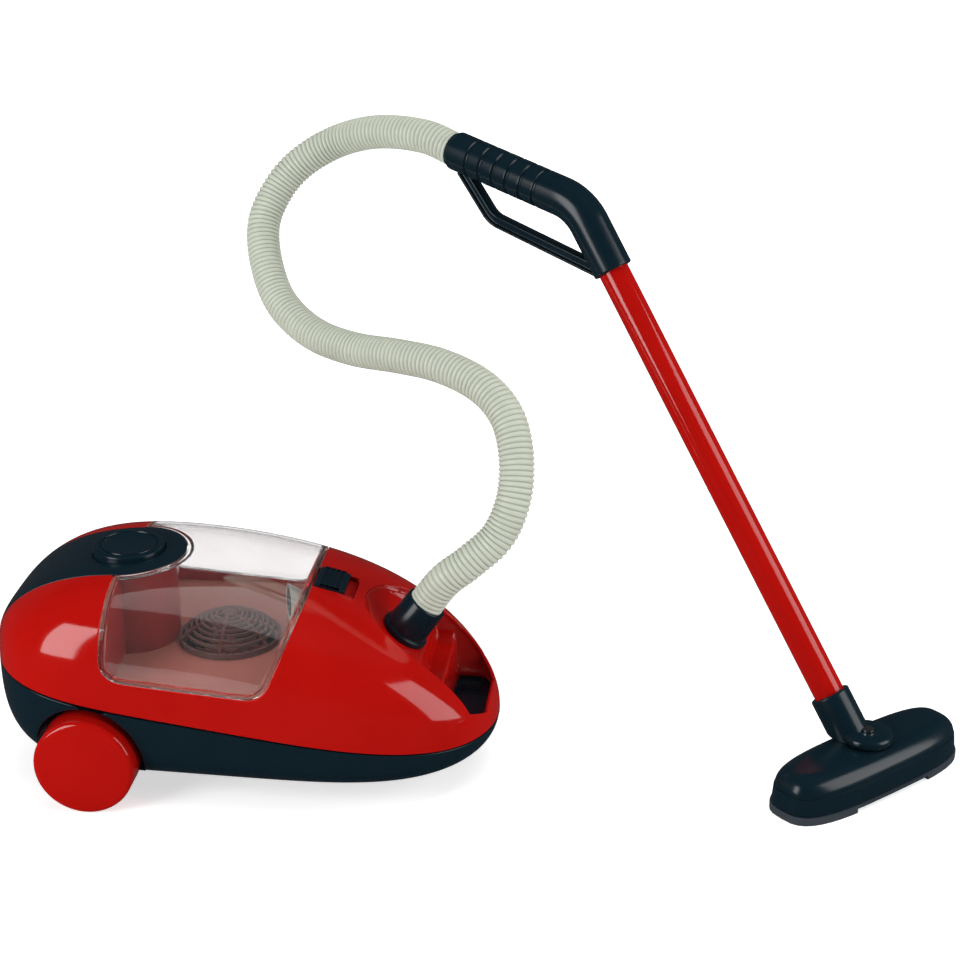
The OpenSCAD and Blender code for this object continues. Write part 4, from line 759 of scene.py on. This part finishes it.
screw_holes = [well_part(sx, sy, SCREW_HOLE_R, BASE_Z + SCREW_HOLE_H, 24) for sx, sy in SCREWS]
points, faces, normals = with_parts(base_shell, (scoop_points, deck_faces), arch_part(-1), arch_part(1),
                                    well_part(CASTER_X, 0, WELL_D / 2, WELL_H), *screw_holes)
piece("base_skin", points, faces, NAVY, "canister", normals=normals, replaces=["base_shell"],
      slot="navy_plastic", weld=False)


# Button, spring, latch, cuff, duct and wheels

# Radius, depth under the top and rounding of the corners of the button's dished face
BUTTON_FACE = [(0, 0.9, 0), (15.8, 0.7, 1), (16.6, 0.2, 0.5), (17.3, 0, 0.4), (17.7, 0.8, 0.2),
               (18.7, 0.8, 0.2), (19.1, 0, 0.4), (BUTTON_D / 2, 0.4, 1.4)]
button_z = roof_top(PANEL_X)
flange_r, bore_r = BUTTON_FLANGE_D / 2, BUTTON_D / 2 - BUTTON_SKIN
flange_top = roof_top(PANEL_X - flange_r) - WALL - EDGE_GAP - button_z
flange_low, button_roof = flange_top - BUTTON_FLANGE_H, BUTTON_RISE - BUTTON_SKIN
outline = rounded([
    *[(r, BUTTON_RISE - deep, edge) for r, deep, edge in BUTTON_FACE],
    (BUTTON_D / 2, flange_top, 0), (flange_r, flange_top, 0.3), (flange_r, flange_low, 0.3),
    (bore_r, flange_low, 0.3), (bore_r, button_roof, 0), (STEM_R, button_roof, 0),
    (STEM_R, STEM_END, 0.4), (0, STEM_END, 0),
])
BUTTON = CANISTER @ Matrix.Translation((PANEL_X, 0, button_z))
piece("button_cap", *lathe(outline, 128), NAVY, "button", BUTTON, replaces=["power_button"],
      slot="navy_plastic")

# The return spring, coiled up to just under the button's roof
RINGS_PER_TURN = 40
spring_low, spring_high = SEAT_GAP - COLLAR_H, button_roof - SEAT_GAP
share = np.linspace(0, 1, SPRING_TURNS * RINGS_PER_TURN + 1)
coil = 2 * pi * SPRING_TURNS * share
coil_z = spring_low + WIRE_D / 2 + (spring_high - spring_low - WIRE_D) * share
coil_line = np.column_stack([SPRING_R * np.cos(coil), SPRING_R * np.sin(coil), coil_z])
wire = tube(coil_line, np.full(len(share), WIRE_D / 2), 16, side=(1, 0, 0))
spring = piece("return_spring", *wire, STEEL, "canister", BUTTON, replaces=["button_spring"], slot="steel",
               sharp=50)
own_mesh(spring)


def prism(outline, width, edge=0.5):
    """An (x, z) outline drawn out along Y, its two end faces drawn in by a narrow bevel."""
    ring = np.array(outline)
    tangent = np.roll(ring, -1, 0) - np.roll(ring, 1, 0)
    inward = np.column_stack([-tangent[:, 1], tangent[:, 0]])
    inward /= np.maximum(1e-9, np.linalg.norm(inward, axis=1))[:, None]
    area = np.sum(ring[:, 0] * np.roll(ring[:, 1], -1) - np.roll(ring[:, 0], -1) * ring[:, 1])
    inward *= np.sign(area)
    rows = [(-width / 2, edge), (-width / 2 + edge, 0), (width / 2 - edge, 0), (width / 2, edge)]
    points = [(p[0], y, p[1]) for y, draw in rows for p in ring + draw * inward]
    n = len(ring)
    return points, quads(len(rows), n) + [tuple(range(n)), tuple(range(3 * n, 4 * n))]


LATCH_GAP, RIB_LEAN = 0.25, 0.2
pitch, rib_top, latch_end = LATCH_L / (LATCH_RIBS + 1), LATCH_PROUD + LATCH_RIB_H, LATCH_GAP + LATCH_L
latch_low = SEAT_GAP - LATCH_SINK
corners = [(LATCH_GAP, latch_low, 0), (latch_end, latch_low, 0), (latch_end, LATCH_PROUD, 0.9)]
for k in range(LATCH_RIBS, 0, -1):
    front, back = LATCH_GAP + (k + 0.25) * pitch, LATCH_GAP + (k - 0.25) * pitch
    corners += [(front, LATCH_PROUD, 0.15), (front - RIB_LEAN, rib_top, 0.5),
                (back + RIB_LEAN, rib_top, 0.5), (back, LATCH_PROUD, 0.15)]
corners += [(LATCH_GAP, LATCH_PROUD, 0.9)]
piece("latch_slide", *prism(rounded(corners, 3), LATCH_W, 0.6), NAVY, "latch", CANISTER @ LATCH_SEAT,
      replaces=["lid_latch"], slot="navy_plastic")

HOSE_GAP, PLUG_L, CUFF_FLARE = 0.25, 18.0, 0.6
hose_fit_r = HOSE_D / 2 + HOSE_GAP
outline = rounded([
    (HOSE_BORE / 2, -PLUG_L, 0), (PLUG_D / 2, -PLUG_L, 0.5), (PLUG_D / 2, SEAT_GAP, 0),
    (CUFF_FLANGE_D / 2, SEAT_GAP, 0.4), (CUFF_FLANGE_D / 2, CUFF_FLANGE_H, 1.4),
    (CUFF_D / 2 + CUFF_FLARE, CUFF_FLANGE_H, 0.5), (CUFF_D / 2, CUFF_L, 1.0), (hose_fit_r, CUFF_L, 0.3),
    (hose_fit_r, CUFF_L - CUFF_DEPTH, 0), (HOSE_BORE / 2, CUFF_L - CUFF_DEPTH, 0),
])
piece("cuff", *lathe(outline), NAVY, "hose_line", SOCKET, replaces=["hose_cuff"], slot="navy_plastic")



def duct_part():
    """Pipe along Z whose mouth, at 0, is cut slantwise: it reaches furthest on its upper far side."""
    inner, outer = DUCT_BORE / 2, DUCT_D / 2
    points, faces = lathe([(inner, 0), (outer, 0), (outer, DUCT_L), (inner, DUCT_L)])
    reach = outer * 2 ** 0.5
    return [(x, y, z if z else DUCT_CUT / 2 * (1 - (y - x) / reach)) for x, y, z in points], faces


duct_mouth = Matrix.Translation((DUCT_MOUTH_X, 0, CROWN_H - DUCT_DROP))
DUCT = CANISTER @ duct_mouth @ turned("Y", pi / 2 + DUCT_SLOPE)
duct = piece("duct_pipe", *duct_part(), GREY, "canister", DUCT, replaces=["inlet_duct"], slot="grey_plastic")
# Its bore is painted black, as painted shade inside the grey pipe
SHADED_BORE_SLACK = 0.5
duct.data.materials.append(BLACK)
to_duct = DUCT.inverted()
for face in duct.data.polygons:
    if (to_duct @ (face.center / MM)).xy.length < DUCT_BORE / 2 + SHADED_BORE_SLACK:
        face.material_index = 1

WHEEL_RIM, WHEEL_HOLLOW, WHEEL_DOME, WHEEL_EDGE_R, DOME_SHARE = 3.5, 3.0, 1.8, 3.2, 0.86
wheel_r = WHEEL_D / 2
outline = rounded([
    (0, WHEEL_HOLLOW, 0), (wheel_r - WHEEL_RIM, WHEEL_HOLLOW, 0), (wheel_r - WHEEL_RIM, 0, 0.4),
    (wheel_r, 0, 0.8), (wheel_r, WHEEL_W - WHEEL_DOME, WHEEL_EDGE_R),
    *[(wheel_r * s, WHEEL_W - WHEEL_DOME * s ** 2, 0) for s in np.linspace(DOME_SHARE, 0, 24)],
], 8)
for name, side in (("wheel_left", 1), ("wheel_right", -1)):
    spot = Matrix.Translation((WHEEL_X, side * (TRACK_W / 2 - WHEEL_W), AXLE_Z)) @ turned("X", -side * pi / 2)
    piece(name + "_disc", *lathe(outline, 128), RED, "rear_wheelset", CANISTER @ spot, replaces=[name],
          slot="red_plastic")


# Handle, neck and nozzle

def pipe(line, outer, inner, steps=72):
    """A tube with its own outer and inner radius at each point of a line, closed at both ends."""
    skin, bore = tube(line, outer, steps, capped=False), tube(line, inner, steps, capped=False)
    points, faces = joined(skin, bore)
    n, last = len(skin[0]), len(skin[0]) - steps
    for j in range(steps):
        k = (j + 1) % steps
        faces += [(j, k, n + k, n + j), (last + j, last + k, n + last + k, n + last + j)]
    return points, faces


GRIP_BORE_R, WAND_FIT_R, FERRULE_ROOM, WAND_ROOM, EDGE, GROOVE_EDGE = 8.0, 10.06, 18.5, 0.5, 1.2, 0.9
# Places of the first rings from an end, of the next one, and the spacing after it
END_STEPS, NEXT_STEP, RING_STEP = np.array([0, 0.15, 0.4, 0.8, 1.2]), 1.6, 0.35
turn = WAND_SLOPE - GRIP_SLOPE
bend_back = BEND_R * tan(turn / 2)
ring_places = np.arange(GRIP_L - NEXT_STEP, bend_back, -RING_STEP)
along = np.concatenate([GRIP_L - END_STEPS, ring_places, [bend_back]])
grip_way = np.array([-cos(GRIP_SLOPE), 0, sin(GRIP_SLOPE)])
leg_way = np.array([cos(WAND_SLOPE), 0, -sin(WAND_SLOPE)])
grip_up = np.array([sin(GRIP_SLOPE), 0, cos(GRIP_SLOPE)])
grip_line = along[:, None] * grip_way
bend_c = bend_back * grip_way - BEND_R * grip_up
arcs = np.linspace(0, turn, 40)[1:]
bend_line = bend_c + BEND_R * (np.cos(arcs)[:, None] * grip_up - np.sin(arcs)[:, None] * grip_way)
down = np.concatenate([np.linspace(bend_back, SOCKET_LEG - NEXT_STEP, 30)[1:], SOCKET_LEG - END_STEPS[::-1]])
leg_line = down[:, None] * leg_way
handle_line = np.concatenate([grip_line, bend_line, leg_line])
from_end = np.concatenate([GRIP_L - along, np.full(len(arcs), EDGE), SOCKET_LEG - down])
inset = EDGE - np.sqrt(np.maximum(0, EDGE ** 2 - np.maximum(0, EDGE - from_end) ** 2))
outer = np.full(len(handle_line), GRIP_D / 2) - inset
for k in range(GROOVES):
    off = np.abs(along - (GRIP_L - GROOVE_END - k * GROOVE_PITCH))
    outer[:len(along)] -= GROOVE_DEEP * (1 - ramp(off, GROOVE_W / 2, GROOVE_EDGE))
inner = np.full(len(handle_line), GRIP_BORE_R)
inner[:len(along)][along > GRIP_L - FERRULE_ROOM] = WAND_FIT_R
inner[-len(down):][down > SOCKET_LEG - WAND_IN - WAND_ROOM] = WAND_FIT_R
handle_part = pipe(handle_line, outer, inner)

GUARD_W, GUARD_T, GUARD_RIM, GUARD_WEB, GUARD_CORNER_R = 8.0, 8.0, 1.6, 3.0, 18.0
GUARD = [(-95, 7.8, 0), (-69.8, -21.6, GUARD_CORNER_R), (17, -41.4, 0)]


def guard_part():
    """H-shaped bar along the guard's path, in the handle's plane."""
    path = np.array(rounded(GUARD, 16))
    ahead = np.gradient(path, axis=0)
    ahead /= np.linalg.norm(ahead, axis=1)[:, None]
    w, t, rim, web = GUARD_W / 2, GUARD_T / 2, GUARD_W / 2 - GUARD_RIM, GUARD_WEB / 2
    half = [(-t, -w, 0.7), (-t, -rim, 0.5), (-web, -rim + 0.4, 0.6)]
    half += [(y, -v, r) for y, v, r in half[::-1]]
    section = rounded(half + [(-y, v, r) for y, v, r in half[::-1]], 3)
    points = [(p[0] - v * d[1], y, p[1] + v * d[0]) for p, d in zip(path, ahead) for y, v in section]
    n = len(section)
    ends = [tuple(range(n)), tuple(range((len(path) - 1) * n, len(path) * n))]
    return points, quads(len(path), n) + ends


piece("grip_and_guard", *joined(handle_part, guard_part()), NAVY, "wand_set", CORNER, replaces=["handle"],
      slot="navy_plastic")

FOOT_D, FOOT_T, FOOT_GAP, PIN_HOLE_R, PIN_HEAD_R, PIN_SINK = 33.0, 7.0, 0.3, 2.6, 4.5, 0.2
FOOT_Z = NOZZLE_H + FOOT_GAP


def sleeve_part():
    """The wand's socket in the neck, cut off level at its lower end."""
    floor_d = NECK_TOP - NECK_IN
    points, faces = lathe(rounded([(0, NECK_LOW, 0), (NECK_D / 2, NECK_LOW, 0), (NECK_D / 2, NECK_TOP, 1.2),
                                   (WAND_FIT_R, NECK_TOP, 0.4), (WAND_FIT_R, floor_d, 0), (0, floor_d, 0)]))
    level = (FOOT_Z - WAND_FOOT_Z) / sin(WAND_SLOPE)
    return [(x, y, d if d > NECK_LOW else level - x / tan(WAND_SLOPE)) for x, y, d in points], faces


seat_z = FOOT_T - PIN_SINK
foot = rounded([(PIN_HOLE_R, 0, 0), (FOOT_D / 2, 0, 3.2), (FOOT_D / 2, FOOT_T, 3.4),
                (PIN_HEAD_R, FOOT_T, 0.4), (PIN_HEAD_R, seat_z, 0), (PIN_HOLE_R, seat_z, 0)])
to_wand = WAND.inverted() @ ALONG_WAND
piece("neck", *joined(moved(sleeve_part(), to_wand), moved(lathe(foot), Matrix.Translation((0, 0, FOOT_Z)))),
      NAVY, "wand_set", WAND, replaces=["nozzle_neck"], slot="navy_plastic")

WAND_BORE = 17.0
wand_low, wand_top = NECK_TOP - NECK_IN, NECK_TOP + WAND_SHOW + WAND_IN
outline = rounded([(WAND_D / 2, wand_low, 0.4), (WAND_D / 2, wand_top, 0.4), (WAND_BORE / 2, wand_top, 0.4),
                   (WAND_BORE / 2, wand_low, 0.4)])
piece("wand_skin", *lathe(outline), RED, "wand_set", ALONG_WAND, replaces=["wand_tube"], slot="red_plastic")


def plan(a, inset):
    """Outline of the nozzle in plan, drawn in by inset."""
    c, s = np.cos(a), np.sin(a)
    return ((NOZZLE_W / 2 - inset) * np.sign(c) * np.abs(c) ** (2 / PLAN_POWER),
            (NOZZLE_L / 2 - inset) * np.sign(s) * np.abs(s) ** (2 / PLAN_POWER))


# Inset and height of the cover's outer skin: its rounded foot, its skirt and, over a ledge, its dome
COVER_Z, COVER_EDGE, DOME_LEDGE = LIP_H + SOLE_T, 0.4, 0.5
DOME_Z = COVER_Z + SKIRT_H
LEVELS = [(0.35, COVER_Z), (0.1, COVER_Z + 0.12), (0, COVER_Z + COVER_EDGE)]
LEVELS += [(SKIRT_IN * s, COVER_Z + COVER_EDGE + (SKIRT_H - COVER_EDGE) * s) for s in np.linspace(0.1, 1, 8)]
LEVELS += [(SKIRT_IN + DOME_LEDGE + (DOME_IN - DOME_LEDGE) * (1 - cos(a)),
            DOME_Z + (NOZZLE_H - DOME_Z) * sin(a)) for a in np.linspace(0, pi / 2, 26)]


def even_plan(count):
    """Angles that space the points of the nozzle's outline evenly."""
    a = np.linspace(0, 2 * pi, 8000)
    way = np.concatenate([[0], np.cumsum(np.hypot(*np.diff(plan(a, 0), axis=1)))])
    return np.interp(np.linspace(0, way[-1], count + 1), way, a)[:-1]


def cover_part(count=240):
    """The nozzle's cover as a closed shell: up its outer skin, over the top and down its inner one."""
    angles = even_plan(count)
    inner = [(inset + WALL, min(z, NOZZLE_H - WALL)) for inset, z in LEVELS[::-1]]
    rows = [np.column_stack([*plan(angles, inset), np.full(count, z)]) for inset, z in LEVELS + inner]
    top = len(LEVELS) - 1
    faces = [(k * count + j, k * count + (j + 1) % count, m * count + (j + 1) % count, m * count + j)
             for k in range(len(rows)) if k != top for m in [(k + 1) % len(rows)] for j in range(count)]
    return np.concatenate(rows), faces + [tuple(range(k * count, (k + 1) * count)) for k in (top, top + 1)]


piece("nozzle_skin", *cover_part(), NAVY, "nozzle", NOZZLE, replaces=["nozzle_cover"], slot="navy_plastic",
      sharp=30)


# Finishes of the CAD nodes that are shown as they are

FINISHES = {
    ROSE: ["dust_tray", "fan"],
    SMOKE: ["filter_grille"],
    NAVY: ["battery_door", "caster_fork", "caster_wheel", "hose_ferrule"],
    GREY: ["switch_plate", "motor_cradle", "battery_tray"],
    SLATE: ["nozzle_sole"],
    BLACK: ["switch_body"],
    JACKET: ["batteries"],
    STEEL: ["motor", "motor_shaft", "door_screw", "housing_screws", "rear_axle", "caster_pin",
            "caster_clip", "swivel_pin", "nozzle_screws"],
    BRASS: ["battery_contacts"],
}
for mat, names in FINISHES.items():
    for name in names:
        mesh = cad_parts[name].data
        mesh.materials.clear()
        mesh.materials.append(mat)

# Painted shade: the upright faces of the tray's drum round the button and of its rear wall get a deeper red
# than its floor and sides, as the same red plastic in shadow
DRUM_R, REAR_WALL = 31.0, 4.0
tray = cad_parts["dust_tray"]
tray.data.materials.append(SHADED_RED)
button_axis = CANISTER @ Vector((PANEL_X, 0, 0))
for face in tray.data.polygons:
    middle = tray.matrix_world @ face.center / MM - button_axis
    if (middle.xy.length < DRUM_R or middle.x < REAR_WALL) and abs(face.normal.z) < 0.5:
        face.material_index = 1


# Stage and light

LAMP_AIM = Vector((0, 0, 0.15))


def panel_lamp(name, az, el, distance, wide, tall, power, mirrored=True):
    """A soft panel that faces the object from a direction; az runs from the front to the right."""
    lamp = bpy.data.lights.new(name, "AREA")
    lamp.shape, lamp.size, lamp.size_y, lamp.energy = "RECTANGLE", wide, tall, power
    obj = bpy.data.objects.new(name, lamp)
    way = Vector((sin(az) * cos(el), -cos(az) * cos(el), sin(el)))
    obj.location = LAMP_AIM + distance * way
    obj.rotation_euler = way.to_track_quat("Z", "Y").to_euler()
    obj.visible_camera, obj.visible_glossy = False, mirrored
    bpy.context.scene.collection.objects.link(obj)


panel_lamp("left_panel", radians(-46), radians(18), 1.9, 0.8, 1.4, 25)
panel_lamp("right_panel", radians(80), radians(18), 1.9, 1.2, 1.5, 22)
panel_lamp("top_panel", radians(150), radians(75), 2.2, 2.6, 2.6, 40, mirrored=False)

world = bpy.data.worlds.new("studio")
bpy.context.scene.world = world
world.use_nodes = True
tree = world.node_tree
background = tree.nodes["Background"]
background.inputs["Color"].default_value = (1, 1, 1, 1)
# The camera sees a white world; reflections and light find a dim one, with a brighter band low at the back
split = tree.nodes.new("ShaderNodeSeparateXYZ")
tree.links.new(tree.nodes.new("ShaderNodeTexCoord").outputs["Generated"], split.inputs["Vector"])
behind = map_range(tree, split.outputs["Y"], -0.3, 0.5, smooth=True)
band = map_range(tree, split.outputs["Z"], 0.56, 0.44, smooth=True)
level = map_range(tree, math_node(tree, "MULTIPLY", behind, band), low=0.015, high=0.048)
ray = tree.nodes.new("ShaderNodeLightPath")
seen = math_node(tree, "MAXIMUM", ray.outputs["Is Camera Ray"], level)
tree.links.new(seen, background.inputs["Strength"])
bpy.context.scene.view_settings.view_transform = "Standard"

FLOOR_R, FLOOR_SIDES = 6.0, 64
floor_mat = bpy.data.materials.new("floor")
floor_mat.use_nodes = True
tree = floor_mat.node_tree
paint = tree.nodes["Principled BSDF"]
paint.inputs["Base Color"].default_value = (0.9, 0.9, 0.9, 1)
paint.inputs["Roughness"].default_value = 0.9
paint.inputs["Specular IOR Level"].default_value = 0.0
paint.inputs["Emission Color"].default_value = (1, 1, 1, 1)
# It glows to white where it is seen, more so away from the object, and only a little for the light it gives
away = tree.nodes.new("ShaderNodeVectorMath")
away.operation = "LENGTH"
tree.links.new(tree.nodes.new("ShaderNodeNewGeometry").outputs["Position"], away.inputs[0])
glow = map_range(tree, away.outputs["Value"], 0.4, 1.4, low=0.62, high=1.0)
ray = tree.nodes.new("ShaderNodeLightPath")
direct = math_node(tree, "MAXIMUM", ray.outputs["Is Camera Ray"], ray.outputs["Is Transmission Ray"])
shown = map_range(tree, direct, low=0.1)
tree.links.new(glow, shown.node.inputs["To Max"])
tree.links.new(shown, paint.inputs["Emission Strength"])
floor_mesh = bpy.data.meshes.new("floor")
ring = np.linspace(0, 2 * pi, FLOOR_SIDES, endpoint=False)
floor_points = [(FLOOR_R * cos(a), FLOOR_R * sin(a), 0) for a in ring]
floor_mesh.from_pydata(floor_points, [], [tuple(range(FLOOR_SIDES))])
floor_mesh.materials.append(floor_mat)
floor = bpy.data.objects.new("floor", floor_mesh)
floor.visible_glossy = False
bpy.context.scene.collection.objects.link(floor)
